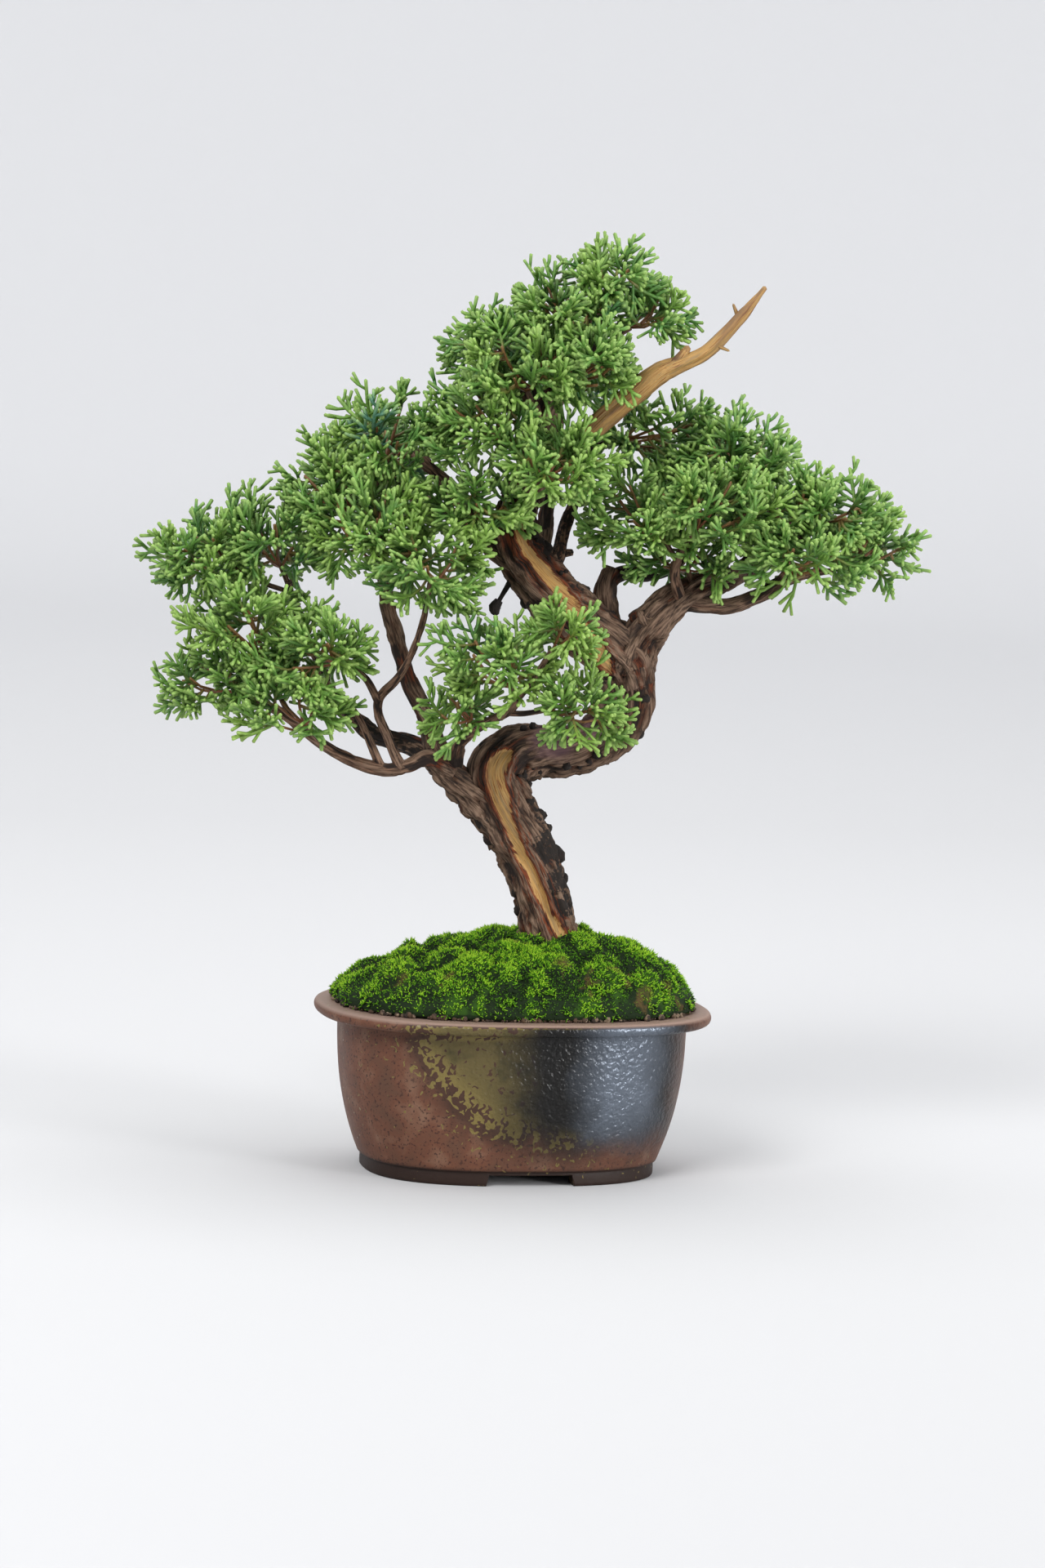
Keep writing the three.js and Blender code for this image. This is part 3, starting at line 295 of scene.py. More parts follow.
class Frame:
    """Where the tree and the planter stand in the row's frame."""

    def __init__(self) -> None:
        """Reads the pot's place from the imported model."""
        low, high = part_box("pot")
        self.shift = np.array([(low.x + high.x) / 2, (low.y + high.y) / 2, 0.0]) / MM

    def planter(self, points: Array) -> Array:
        """Places given from the pot's middle, in the row's frame, in metres."""
        return (points + self.shift) * MM

    def tree(self, points: Array) -> Array:
        """Places in the tree's turned frame, in the row's frame, in metres."""
        c, s = math.cos(TREE_TURN), math.sin(TREE_TURN)
        turned = np.stack([c * points[..., 0] - s * points[..., 1], s * points[..., 0] + c * points[..., 1],
                           points[..., 2]], axis=-1)
        return (turned + self.shift) * MM


class Surface:
    """A surface while it is worked out: points, faces and a value for each point under each name."""

    def __init__(self, names: tuple[str, ...] = ()) -> None:
        """Starts an empty surface.

        Args:
            names: Names of the values that every point has.
        """
        self.names = names
        self.points: list[Array] = []
        self.faces: list[Array] = []
        self.values: dict[str, list[Array]] = {name: [] for name in names}
        self.count = 0

    def add(self, points: Array, *faces: Array, **values: Array | float) -> None:
        """Adds points and their faces.

        Args:
            points: Any shape with three numbers in the last axis.
            faces: Arrays of point numbers, three or four in the last axis, counted from these points.
            values: A number for each point, or one for all, under each name.
        """
        flat = points.reshape(-1, 3)
        self.points.append(flat)
        self.faces.extend(face.reshape(-1, face.shape[-1]) + self.count for face in faces)
        for name in self.names:
            value = np.asarray(values.get(name, 0.0), dtype=np.float64)
            self.values[name].append(np.broadcast_to(value, points.shape[:-1]).reshape(-1))
        self.count += len(flat)

    def make(self, name: str, material: bpy.types.Material, smooth: bool = True) -> bpy.types.Object:
        """Puts the surface into a mesh object at the origin.

        Args:
            name: Name of the object.
            material: Its finish.
            smooth: True for smooth shading.

        Returns:
            The new object, linked to the scene.
        """
        points = np.concatenate(self.points)
        corners = np.concatenate([face.reshape(-1) for face in self.faces]).astype(np.int32)
        sizes = np.concatenate([np.full(len(face), face.shape[1], np.int32) for face in self.faces])
        mesh = bpy.data.meshes.new(name)
        mesh.vertices.add(len(points))
        mesh.vertices.foreach_set("co", points.astype(np.float32).reshape(-1))
        mesh.loops.add(len(corners))
        mesh.loops.foreach_set("vertex_index", corners)
        mesh.polygons.add(len(sizes))
        starts = np.concatenate([[0], np.cumsum(sizes)[:-1]]).astype(np.int32)
        mesh.polygons.foreach_set("loop_start", starts)
        write_values(mesh, {key: np.concatenate(parts) for key, parts in self.values.items()})
        mesh.update(calc_edges=True)
        mesh.validate()
        mesh.polygons.foreach_set("use_smooth", np.full(len(mesh.polygons), smooth))
        mesh.materials.append(material)
        made = bpy.data.objects.new(name, mesh)
        bpy.context.scene.collection.objects.link(made)
        return made


def sheet_faces(rows: int, columns: int, copies: int = 1, extra: int = 0) -> Array:
    """Quads between the rings of a tube that closes on itself.

    Args:
        rows: Rings along the tube.
        columns: Points round each ring.
        copies: How many tubes lie one after the other in the points.
        extra: Points that follow each tube's rings, such as its poles.

    Returns:
        Point numbers, four to a face, that face outwards where the rings run against the clock seen from
        the far end.
    """
    r, c = np.meshgrid(np.arange(rows - 1), np.arange(columns), indexing="ij")
    n = (c + 1) % columns
    near, far = r * columns, (r + 1) * columns
    quad = np.stack([near + c, near + n, far + n, far + c], axis=-1)
    start = np.arange(copies) * (rows * columns + extra)
    return (quad.reshape(1, -1, 4) + start[:, None, None]).reshape(-1, 4)


def pole_faces(ring: int, pole: int, columns: int, far: bool, step: int = 0, copies: int = 1) -> Array:
    """Triangles between a ring and a pole.

    Args:
        ring: Number of the ring's first point.
        pole: Number of the pole.
        columns: Points in the ring.
        far: True at the far end of the tube, False at the near end.
        step: Points in each copy.
        copies: How many copies there are.

    Returns:
        Point numbers, three to a face.
    """
    c = np.arange(columns)
    n = (c + 1) % columns
    rim = (ring + c, ring + n) if far else (ring + n, ring + c)
    triangle = np.stack([rim[0], rim[1], np.full(columns, pole)], axis=-1)
    start = np.arange(copies) * step
    return (triangle.reshape(1, -1, 3) + start[:, None, None]).reshape(-1, 3)


def tube_faces(rows: int, columns: int, copies: int = 1) -> tuple[Array, Array, Array]:
    """Faces of closed tubes. The points of each are its rings, then its near and its far pole.

    Args:
        rows: Rings along each tube.
        columns: Points round each ring.
        copies: How many tubes lie one after the other in the points.

    Returns:
        The quads between the rings, and the triangles at the near and at the far pole.
    """
    rings = rows * columns
    return (sheet_faces(rows, columns, copies, 2), pole_faces(0, rings, columns, False, rings + 2, copies),
            pole_faces(rings - columns, rings + 1, columns, True, rings + 2, copies))


def add_node(tree: bpy.types.NodeTree, kind: str, inputs: dict[str | int, Any] | None = None,
             stops: tuple[tuple[float, str | float], ...] = (), **settings: Any) -> bpy.types.Node:
    """Adds a node with its settings and inputs.

    Args:
        tree: Node tree of a material.
        kind: Blender's name for the node's type.
        inputs: What each input gets, by name or number: a value, an sRGB hex colour or a node's output.
        stops: A ramp's places, each with an sRGB hex colour or a grey in linear light.
        settings: The node's other properties.

    Returns:
        The new node.
    """
    node = tree.nodes.new(kind)
    for name, value in settings.items():
        setattr(node, name, value)
    if stops:
        elements = node.color_ramp.elements
        while len(elements) < len(stops):
            elements.new(0.5)
        for element, (place, colour) in zip(elements, stops):
            element.position = place
            element.color = linear(colour) if isinstance(colour, str) else (colour, colour, colour, 1.0)
    for name, given in (inputs or {}).items():
        if isinstance(given, bpy.types.NodeSocket):
            tree.links.new(given, node.inputs[name])
        else:
            node.inputs[name].default_value = linear(given) if isinstance(given, str) else given
    return node


class Finish:
    """A material while it is built: its Principled shader and the nodes that feed it."""

    def __init__(self, name: str, values: tuple[str, ...] = ()) -> None:
        """Starts the material.

        Args:
            name: Name of the material.
            values: Names of the mesh's own values that it reads.
        """
        self.material = bpy.data.materials.new(name)
        self.material.use_nodes = True
        self.tree = self.material.node_tree
        self.tree.nodes.clear()
        self.shader = add_node(self.tree, "ShaderNodeBsdfPrincipled")
        add_node(self.tree, "ShaderNodeOutputMaterial", {"Surface": self.shader.outputs["BSDF"]})
        self.value = {key: add_node(self.tree, "ShaderNodeAttribute", attribute_name=key).outputs["Fac"]
                      for key in values}

    def place(self) -> Socket:
        """The object's own coordinates."""
        return add_node(self.tree, "ShaderNodeTexCoord").outputs["Object"]

    def noise(self, place: Socket, size: float, **inputs: float) -> Socket:
        """Noise whose grain has a size in millimetres."""
        inputs = {"Vector": place, "Scale": 1 / (size * MM), **inputs}
        return add_node(self.tree, "ShaderNodeTexNoise", inputs).outputs["Fac"]

    def cells(self, place: Socket, size: float) -> bpy.types.Node:
        """Voronoi cells with a size in millimetres."""
        return add_node(self.tree, "ShaderNodeTexVoronoi", {"Vector": place, "Scale": 1 / (size * MM)})

    def ramp(self, source: Socket, *stops: tuple[float, str | float]) -> Socket:
        """A colour for each value of the source, between the stops."""
        return add_node(self.tree, "ShaderNodeValToRGB", {"Fac": source}, stops).outputs["Color"]

    def span(self, source: Socket, low: float, high: float, start: float = 0.0, end: float = 1.0,
             **settings: str) -> Socket:
        """The source's range from low to high, stretched to run from start to end and cut off there.

        Args:
            source: The value that is stretched.
            low: Where the result is start.
            high: Where the result is end.
            start: The result at low.
            end: The result at high.
            settings: The node's other properties.

        Returns:
            The stretched value.
        """
        return add_node(self.tree, "ShaderNodeMapRange", {
            "Value": source, "From Min": low, "From Max": high, "To Min": start, "To Max": end},
            **settings).outputs["Result"]

    def math(self, operation: str, *terms: Socket | float) -> Socket:
        """The operation's result. MULTIPLY_ADD is the first term times the second, plus the third."""
        return add_node(self.tree, "ShaderNodeMath", dict(enumerate(terms)), operation=operation).outputs[0]

    def blend(self, share: Socket | float, under: Socket | str, over: Socket | str,
              kind: str = "MIX") -> Socket:
        """Lays one colour over another.

        Args:
            share: How much of the upper colour shows.
            under: The lower colour, from a node or in sRGB hex.
            over: The upper colour, likewise.
            kind: How they mix.

        Returns:
            The mixed colour.
        """
        return add_node(self.tree, "ShaderNodeMix", {0: share, 6: under, 7: over}, data_type="RGBA",
                        blend_type=kind).outputs[2]

    def bump(self, height: Socket, distance: float, strength: Socket | float,
             invert: bool = False) -> Socket:
        """A bump from a height, with its distance in millimetres."""
        inputs = {"Height": height, "Distance": distance * MM, "Strength": strength}
        return add_node(self.tree, "ShaderNodeBump", inputs, invert=invert).outputs["Normal"]

    def done(self, **inputs: Socket | float) -> bpy.types.Material:
        """Feeds the shader and hands over the material.

        Args:
            inputs: What each of the shader's inputs gets, its name in small letters joined by underscores.

        Returns:
            The material.
        """
        for name, given in inputs.items():
            socket = self.shader.inputs[name.replace("_", " ").title().replace("Ior", "IOR")]
            if isinstance(given, bpy.types.NodeSocket):
                self.tree.links.new(given, socket)
            else:
                socket.default_value = given
        return self.material


def triangles(piece: bpy.types.Object) -> int:
    """How many triangles an object's faces make: two fewer than the corners of each."""
    return len(piece.data.loops) - 2 * len(piece.data.polygons)


@dataclass(frozen=True)
class AshGlazedStoneware:
    """Wood-fired brown stoneware. Fly ash has melted to an olive glaze on the front's left, with worm-like
    edges, and runs into a near-black one with a blue-grey lustrous part, whose pale colour is partly a
    painted reflection. The bare clay is dull and reddish, with shade painted at the foot and in a band
    under the lip."""

    VALUES = ("ash", "dark", "lustre_and_painted_sheen", "lip", "foot")

    clay: str = "553a2c"
    clay_light: str = "775b49"
    clay_red: str = "603c2c"
    speck: str = "33211b"
    stained: str = "33221a"
    # Darker than the clay: the foot's own colour with its shade painted in
    foot_clay_and_painted_shade: str = "24150e"
    lip_clay: str = "8a7367"
    island: str = "6b5e34"
    olive: str = "52482a"
    olive_deep: str = "302d19"
    black: str = "0f0e0d"
    # Partly painted reflection: the lustrous glaze's pale blue-grey stands in for the sheen it reflects
    blue: str = "59606a"
    mottle_mm: float = 9.0
    speck_mm: float = 0.9
    worm_mm: float = 2.0
    peel_mm: float = 1.6
    peel_depth_mm: float = 0.7

    def material(self) -> bpy.types.Material:
        """Builds the finish from the pot's own values: ash, dark, lustre_and_painted_sheen, lip and foot.
        """
        finish = Finish("ash_glazed_stoneware", self.VALUES)
        place, value = finish.place(), finish.value
        mottle = finish.noise(place, self.mottle_mm, Detail=4.0)
        speck = finish.noise(place, self.speck_mm, Detail=2.0)
        worm = finish.noise(place, self.worm_mm, Detail=0.6, Distortion=0.9)
        peel = finish.noise(place, self.peel_mm, Detail=1.5, Distortion=0.3)
        clay = finish.ramp(mottle, (0.3, self.clay), (0.5, self.clay_red), (0.78, self.clay_light))
        clay = finish.blend(finish.span(speck, 0.57, 0.66, end=0.85), clay, self.speck)
        clay = finish.blend(value["lip"], clay, self.lip_clay)
        # Painted shade: the foot band is darkened for the shade low on the pot
        clay = finish.blend(value["foot"], clay, self.foot_clay_and_painted_shade)
        # Between the islands of glaze the ash has stained the clay darker
        clay = finish.blend(finish.span(value["ash"], 0.08, 0.42, end=0.82), clay, self.stained)
        # Where the ash thins out, the worm pattern decides between glaze and clay
        glazed = finish.span(finish.math("MULTIPLY_ADD", worm, 2.4, value["ash"]), 1.76, 1.81)
        ash = finish.ramp(mottle, (0.3, self.olive_deep), (0.48, self.olive))
        ash = finish.blend(finish.span(value["ash"], 1.0, 0.7), ash, self.island)
        colour = finish.blend(glazed, clay, ash)
        colour = finish.blend(value["dark"], colour, self.black)
        # Painted reflection on a real lustrous glaze: the pale blue-grey stands in for the sheen it
        # reflects
        colour = finish.blend(value["lustre_and_painted_sheen"], colour, self.blue)
        glazed = finish.math("MAXIMUM", glazed, value["dark"])
        return finish.done(
            base_color=colour, roughness=finish.span(glazed, 0, 1, 0.55, 0.3),
            metallic=finish.math("MULTIPLY", value["lustre_and_painted_sheen"], 0.35),
            normal=finish.bump(peel, self.peel_depth_mm, finish.span(glazed, 0, 1, 0.12, 0.8)),
            ior=1.55, specular_ior_level=0.22)


@dataclass(frozen=True)
class JuniperBark:
    """Old juniper bark, which peels in long fibrous strips: grey-brown on top, black in the cracks and
    between the fibres, partly as painted shade, and red-brown where a strip has come off. Bare wood is tan,
    with fine lines along the grain."""

    # Tones of the fibres, from the gaps between them to their tops: the near-black gaps are partly painted
    # shade
    FIBRE_TONES_AND_GAP_SHADE = ((0.34, "1f1815"), (0.44, "8f8680"), (0.56, "dcd8d4"), (0.68, "ffffff"))
    # Share of red inner bark across the strip's border, which makes three lines, each fainter than the last
    BORDER = ((0.16, 0.0), (0.2, 1.0), (0.28, 1.0), (0.32, 0.15), (0.44, 0.1), (0.47, 0.95), (0.53, 0.9),
              (0.56, 0.0), (0.72, 0.0), (0.75, 0.6), (0.79, 0.5), (0.82, 0.0))

    flake: str = "836c5b"
    brown: str = "513a2b"
    crack_and_painted_shade: str = "1e1613"
    peel: str = "6b3318"
    black: str = "1d1917"
    bare: str = "b48c50"
    bare_line: str = "744826"
    grey_wood: str = "93784f"
    edge: str = "6b3318"
    edge_dark: str = "3a1a0e"
    young: str = "987863"
    lilac: str = "5f464c"
    aged: str = "6b4d38"
    patch_mm: float = 5.0
    fibre_mm: float = 0.55
    line_mm: float = 0.6
    crust_mm: float = 1.3
    fibre_depth_mm: float = 0.6

    def material(self) -> bpy.types.Material:
        """Builds the finish from the wood's own values. Patterns run along each limb by its flow values."""
        finish = Finish("juniper_bark_and_bare_wood", Wood.VALUES)
        value = finish.value
        flow = add_node(finish.tree, "ShaderNodeCombineXYZ", {
            axis: value[f"flow_{axis.lower()}"] for axis in "XYZ"}).outputs["Vector"]
        patches, fibres, lines, crust = (
            finish.noise(add_node(finish.tree, "ShaderNodeMapping", {
                "Vector": flow, "Scale": (1, 1, along)}).outputs["Vector"], size, Detail=4.0, Roughness=0.6)
            for size, along in ((self.patch_mm, 0.3), (self.fibre_mm, 0.1), (self.line_mm, 0.04),
                                (self.crust_mm, 0.8)))
        bark = finish.ramp(patches, (0.36, self.peel), (0.45, self.brown), (0.58, self.flake),
                           (0.7, self.brown))
        bark = finish.blend(value["young"], bark, self.young)
        bark = finish.blend(finish.span(value["height"], 0.55, 0.95, end=0.75), bark, self.flake)
        # Partly painted shade: the gaps between the fibres are darkened
        bark = finish.blend(0.9, bark, finish.ramp(fibres, *self.FIBRE_TONES_AND_GAP_SHADE), "MULTIPLY")
        # Partly painted shade: the low parts between the flakes go nearly black
        bark = finish.blend(finish.span(value["height"], 0.38, 0.14, end=0.95), bark, self.crack_and_painted_shade)
        bark = finish.blend(value["lilac"], bark, self.lilac)
        burnt = finish.math("MULTIPLY_ADD", value["dark"], 0.45, crust)
        bark = finish.blend(finish.span(burnt, 0.66, 0.72, end=0.94), bark, self.black)
        wood = finish.ramp(lines, (0.35, self.bare_line), (0.47, self.bare), (0.62, self.grey_wood))
        wood = finish.blend(value["aged"], wood, self.aged)
        # The strip's border strays along the grain; beyond it run the lines of bared inner bark
        strayed = finish.math("MULTIPLY_ADD", lines, 3.0, value["beyond"])
        bare = finish.span(strayed, 1.65, 1.4)
        border = finish.ramp(finish.span(strayed, 0.5, 5.5), *self.BORDER)
        rim = finish.ramp(fibres, (0.4, self.edge_dark), (0.56, self.edge))
        return finish.done(
            base_color=finish.blend(border, finish.blend(bare, bark, wood), rim),
            roughness=finish.span(bare, 0, 1, 0.88, 0.55),
            normal=finish.bump(fibres, self.fibre_depth_mm, 0.9), specular_ior_level=0.3)


@dataclass(frozen=True)
class JuniperFoliage:
    """Scale-leaf juniper shoots: waxy cords of a warm mid green, some bluer, lighter and yellower at their
    tips, with shade painted darker inside the spray and between the scales, on rust-brown stems."""

    yellow_green: str = "7b9d3f"
    green: str = "658f3b"
    deep_green: str = "51823c"
    blue_green: str = "55846d"
    tip: str = "a0bd66"
    # Painted shade: the darker green inside the spray, where the fronds shade one another
    inside: str = "33592a"
    stem: str = "7d4a30"
    scale_mm: float = 1.3
    scale_depth_mm: float = 0.3

    def material(self) -> bpy.types.Material:
        """Builds the finish from the foliage's own values: fresh, depth, hue and stem."""
        finish = Finish("juniper_scale_leaves", Foliage.VALUES)
        value = finish.value
        colour = finish.ramp(value["hue"], (0.1, self.yellow_green), (0.45, self.green),
                             (0.86, self.deep_green), (0.97, self.blue_green))
        fresh = finish.span(value["fresh"], 0.1, 1.0, end=0.6, interpolation_type="SMOOTHSTEP")
        colour = finish.blend(fresh, colour, self.tip)
        # Painted shade, deeper towards the spray's middle
        colour = finish.blend(finish.span(value["depth"], 0.8, 0.2, end=0.7), colour, self.inside)
        scales = finish.cells(finish.place(), self.scale_mm).outputs["Distance"]
        # Painted shade in the gaps between the scale leaves
        gaps = finish.ramp(scales, (0.2, "ffffff"), (0.8, "a8a8a8"))
        colour = finish.blend(0.45, colour, gaps, "MULTIPLY")
        return finish.done(
            base_color=finish.blend(value["stem"], colour, self.stem), roughness=0.5,
            normal=finish.bump(scales, self.scale_depth_mm, 0.6, invert=True), specular_ior_level=0.35)


@dataclass(frozen=True)
class CushionMoss:
    """Living cushion moss: thousands of fine shoots, bright green at the tips, with brown spots where it
    has dried. The near-black between the shoots and at their bases is painted shade."""

    VALUES = ("rise", "dry")

    tip: str = "b8dc38"
    green: str = "50880f"
    # Painted shade: the near-black between the shoots
    under: str = "101f07"
    dry: str = "5b4527"
    patch_mm: float = 3.2

    def material(self) -> bpy.types.Material:
        """Builds the finish from the moss's own values: rise, painted shade at 0 in the gaps to 1 at the
        tips, and dry.
        """
        finish = Finish("cushion_moss", self.VALUES)
        patches = finish.noise(finish.place(), self.patch_mm, Detail=6.0, Roughness=0.75)
        # Painted light and shade: near-black in the gaps and at the leaves' bases, brightest at the high
        # tips
        colour = finish.ramp(finish.value["rise"], (0.05, self.under), (0.45, self.green), (1.0, self.tip))
        browned = finish.math("MULTIPLY_ADD", finish.value["dry"], 0.3, patches)
        colour = finish.blend(finish.span(browned, 0.66, 0.86, end=0.6), colour, self.dry)
        return finish.done(base_color=colour, roughness=0.8, specular_ior_level=0.2)


@dataclass(frozen=True)
class BonsaiSoil:
    """Damp fired-clay and pumice grains, dull and dark brown, some paler."""

    dark: str = "2a1f17"
    brown: str = "4c3828"
    pale: str = "8b7a66"
    grain_mm: float = 2.2
    grain_depth_mm: float = 0.6

    def material(self) -> bpy.types.Material:
        """Builds the finish: a colour and a bump for each grain."""
        finish = Finish("bonsai_soil")
        grains = finish.cells(finish.place(), self.grain_mm)
        colour = finish.ramp(grains.outputs["Color"], (0.2, self.dark), (0.6, self.brown),
                             (0.95, self.pale))
        bump = finish.bump(grains.outputs["Distance"], self.grain_depth_mm, 0.8, invert=True)
        return finish.done(base_color=colour, normal=bump, roughness=0.9)


@dataclass(frozen=True)
class MeshPlastic:
    """Black moulded polyethylene, dull, with a little brown dust."""

    black: str = "1b1b1a"
    dusty: str = "3a352e"
    dust_mm: float = 3.0

    def material(self) -> bpy.types.Material:
        """Builds the finish."""
        finish = Finish("black_plastic_mesh")
        dust = finish.noise(finish.place(), self.dust_mm)
        return finish.done(base_color=finish.blend(dust, self.black, self.dusty), roughness=0.55)


class Limb:
    """A limb of the tree: its centre line and its radius between the listed points."""

    def __init__(self, rows: list[list[float]]) -> None:
        """Takes the limb's rows.

        Args:
            rows: [x, y, z, radius] from the parent outwards.
        """
        self.rows = np.array(rows, dtype=np.float64)

    def point(self, t: Array) -> Array:
        """Places on the centre line, a centripetal Catmull-Rom curve through the rows.

        Args:
            t: Places from 0 to 1, even between the rows.

        Returns:
            One point for each place.
        """
        p = self.rows[:, :3]
        p = np.vstack([2 * p[0] - p[1], p, 2 * p[-1] - p[-2]])
        place = np.clip(t, 0, 1) * (len(self.rows) - 1)
        first = np.minimum(np.floor(place).astype(int), len(self.rows) - 2)
        w = (place - first)[:, None]
        p0, p1, p2, p3 = (p[first + k] for k in range(4))
        d0, d1, d2 = (np.sqrt(np.linalg.norm(b - a, axis=-1, keepdims=True))
                      for a, b in ((p0, p1), (p1, p2), (p2, p3)))
        t1 = ((p1 - p0) / d0 - (p2 - p0) / (d0 + d1) + (p2 - p1) / d1) * d1
        t2 = ((p2 - p1) / d1 - (p3 - p1) / (d1 + d2) + (p3 - p2) / d2) * d1
        return (p1 + t1 * w + (-3 * p1 + 3 * p2 - 2 * t1 - t2) * w ** 2
                + (2 * p1 - 2 * p2 + t1 + t2) * w ** 3)

    def radius(self, t: Array) -> Array:
        """The radius at each place, straight between the rows."""
        return np.interp(np.clip(t, 0, 1), np.linspace(0, 1, len(self.rows)), self.rows[:, 3])

    def even(self, step: float) -> tuple[Array, Array]:
        """Places that lie evenly along the limb.

        Args:
            step: Distance between them, in millimetres.

        Returns:
            The places from 0 to 1, and the distance of each from the start.
        """
        dense = np.linspace(0, 1, 40 * len(self.rows))
        run = np.concatenate([[0], np.cumsum(np.linalg.norm(np.diff(self.point(dense), axis=0), axis=1))])
        distance = np.linspace(0, run[-1], max(3, int(run[-1] / step)) + 1)
        return np.interp(distance, run, dense), distance

    def frames(self, t: Array) -> tuple[Array, Array, Array]:
        """Frames along the limb that turn no more than it does.

        Args:
            t: Places from 0 to 1, in order.

        Returns:
            Centres, side vectors, which start towards the viewer, and the vectors square to both.
        """
        centre = self.point(t)
        tangent = unit(self.point(np.minimum(t + 1e-3, 1)) - self.point(np.maximum(t - 1e-3, 0)))
        side = np.zeros_like(centre)
        last = np.array([0.0, -1.0, 0.0])
        for k, along in enumerate(tangent):
            last = last - along * last.dot(along)
            last /= np.linalg.norm(last)
            side[k] = last
        return centre, side, np.cross(tangent, side)


class Bark(Enum):
    """What covers a limb."""

    OLD = "flaky bark with a bare strip"
    ROUGH = "flaky bark"
    BARE = "bare wood"
    BLACK = "blackened dead wood"
    DARK = "dark live bark"


@dataclass
class Wood:
    """The tree's wood: trunk, leader, jin, branches and twigs, one grown piece."""

    VALUES = ("beyond", "dark", "young", "height", "lilac", "aged", "flow_x", "flow_y", "flow_z")
    COVER = {"trunk": Bark.OLD, "leader": Bark.OLD, "jin": Bark.BARE, "jin_knob": Bark.BARE,
             "jin_splinter_low": Bark.BARE, "jin_splinter_high": Bark.BARE, "dark": Bark.DARK,
             "dark_stub": Bark.DARK, "dead_twig": Bark.BLACK, "dead_twig_burr": Bark.BLACK,
             "left_back": Bark.DARK}
    # Bare strip: [place along the limb, angle from the viewer's side in degrees, half width in radians]
    STRIPS = {
        "trunk": [[0.1, 42, 0.12], [0.14, 40, 0.15], [0.197, 35, 0.17], [0.237, 13, 0.18], [0.28, -2, 0.2],
                  [0.327, -8, 0.21], [0.38, -6, 0.24], [0.44, 0, 0.3], [0.5, -2, 0.42], [0.53, 0, 0.38],
                  [0.565, 4, -0.1], [1, 20, -0.2]],
        "leader": [[0, -30, -0.2], [0.16, -28, 0.07], [0.25, -20, 0.3], [0.33, -2, 0.34], [0.42, 16, 0.32],
                   [0.5, 25, 0.28], [0.625, 24, 0.26], [0.75, 18, 0.25], [0.9, 8, 0.25], [1, 0, 0.24]],
    }
    # Marks on the viewer's side: [x, z, radius in millimetres, the value that they raise]
    MARKS = (
        (9.5, 109, 7.5, "dark"), (13, 98, 6.5, "dark"), (8.5, 119, 5.5, "dark"), (15, 88, 4.5, "dark"),
        (-13.5, 115, 3.0, "dark"), (-8, 185, 4.0, "dark"), (13, 190, 5.0, "dark"), (3, 205, 5.0, "dark"),
        (25, 165, 4.0, "dark"), (10, 143.5, 8.5, "lilac"), (22, 146, 5.0, "lilac"),
        (29.7, 177.7, 6.5, "pale"), (-5.2, 105.2, 3.2, "pale"), (20, 176, 6.0, "pale"),
        (-3, 209, 6.0, "pale"), (9, 187, 4.5, "pale"), (18, 135, 5.0, "pale"), (12, 62, 6.0, "pale"))
    # Knots: [limb, place along it, angle from the viewer's side in degrees, radius in millimetres]
    KNOTS = (
        ("trunk", 0.375, 78, 2.6), ("trunk", 0.345, 88, 2.1), ("trunk", 0.305, 84, 2.8),
        ("trunk", 0.272, 92, 1.9), ("trunk", 0.24, 80, 1.7), ("trunk", 0.372, -86, 2.2),
        ("trunk", 0.31, -88, 1.7), ("trunk", 0.24, -82, 1.5), ("trunk", 0.405, 62, 1.8),
        ("trunk", 0.33, 52, 1.6), ("trunk", 0.84, 86, 2.0), ("trunk", 0.92, 70, 1.7),
        ("leader", 0.55, -84, 1.9), ("leader", 0.68, 82, 1.8), ("leader", 0.42, 88, 1.9),
        ("trunk", 0.7, -60, 1.6))
    # Cells of the bark's plates and fibres and of the bare wood's grain: across, across and along the limb
    PLATE_CELL = np.array([1.9, 1.9, 7.5])
    FIBRE_CELL = np.array([0.95, 0.95, 12.0])
    GRAIN_CELL = np.array([0.9, 0.9, 24.0])

    frame: Frame
    coarse: float = 1.0
    ring_step: float = 0.82
    fine_step: float = 0.6
    ridges: tuple[float, float, float, float] = (0.07, 3, 9, 0.6)
    flutes: tuple[float, float, float, float] = (0.045, 5, -17, 0)
    strip_depth: float = 0.09
    relief_least_radius: float = 3.0
    root_flare: float = 0.18
    most_columns: int = 110
    spiral_mm: float = 60.0
    flake_height: float = 1.15
    fibre_height: float = 0.5
    far: float = 9.0
    burrs: int = 170
    limbs: dict[str, Limb] = field(
        default_factory=lambda: {name: Limb(rows) for name, rows in LIMBS.items()})

    def build(self, twigs: list[Limb], material: bpy.types.Material) -> bpy.types.Object:
        """Builds all the wood in one mesh.

        Args:
            twigs: The twigs that carry the sprays.
            material: The finish.

        Returns:
            The piece.
        """
        surface = Surface(self.VALUES)
        for name, limb in self.limbs.items():
            self.add_limb(surface, name, limb)
        for twig in twigs:
            self.add_limb(surface, "twig", twig)
        self.add_knots(surface)
        made = surface.make("juniper_wood_dressed", material)
        log.info("wood: %d limbs, %d triangles", len(self.limbs) + len(twigs), triangles(made))
        return made

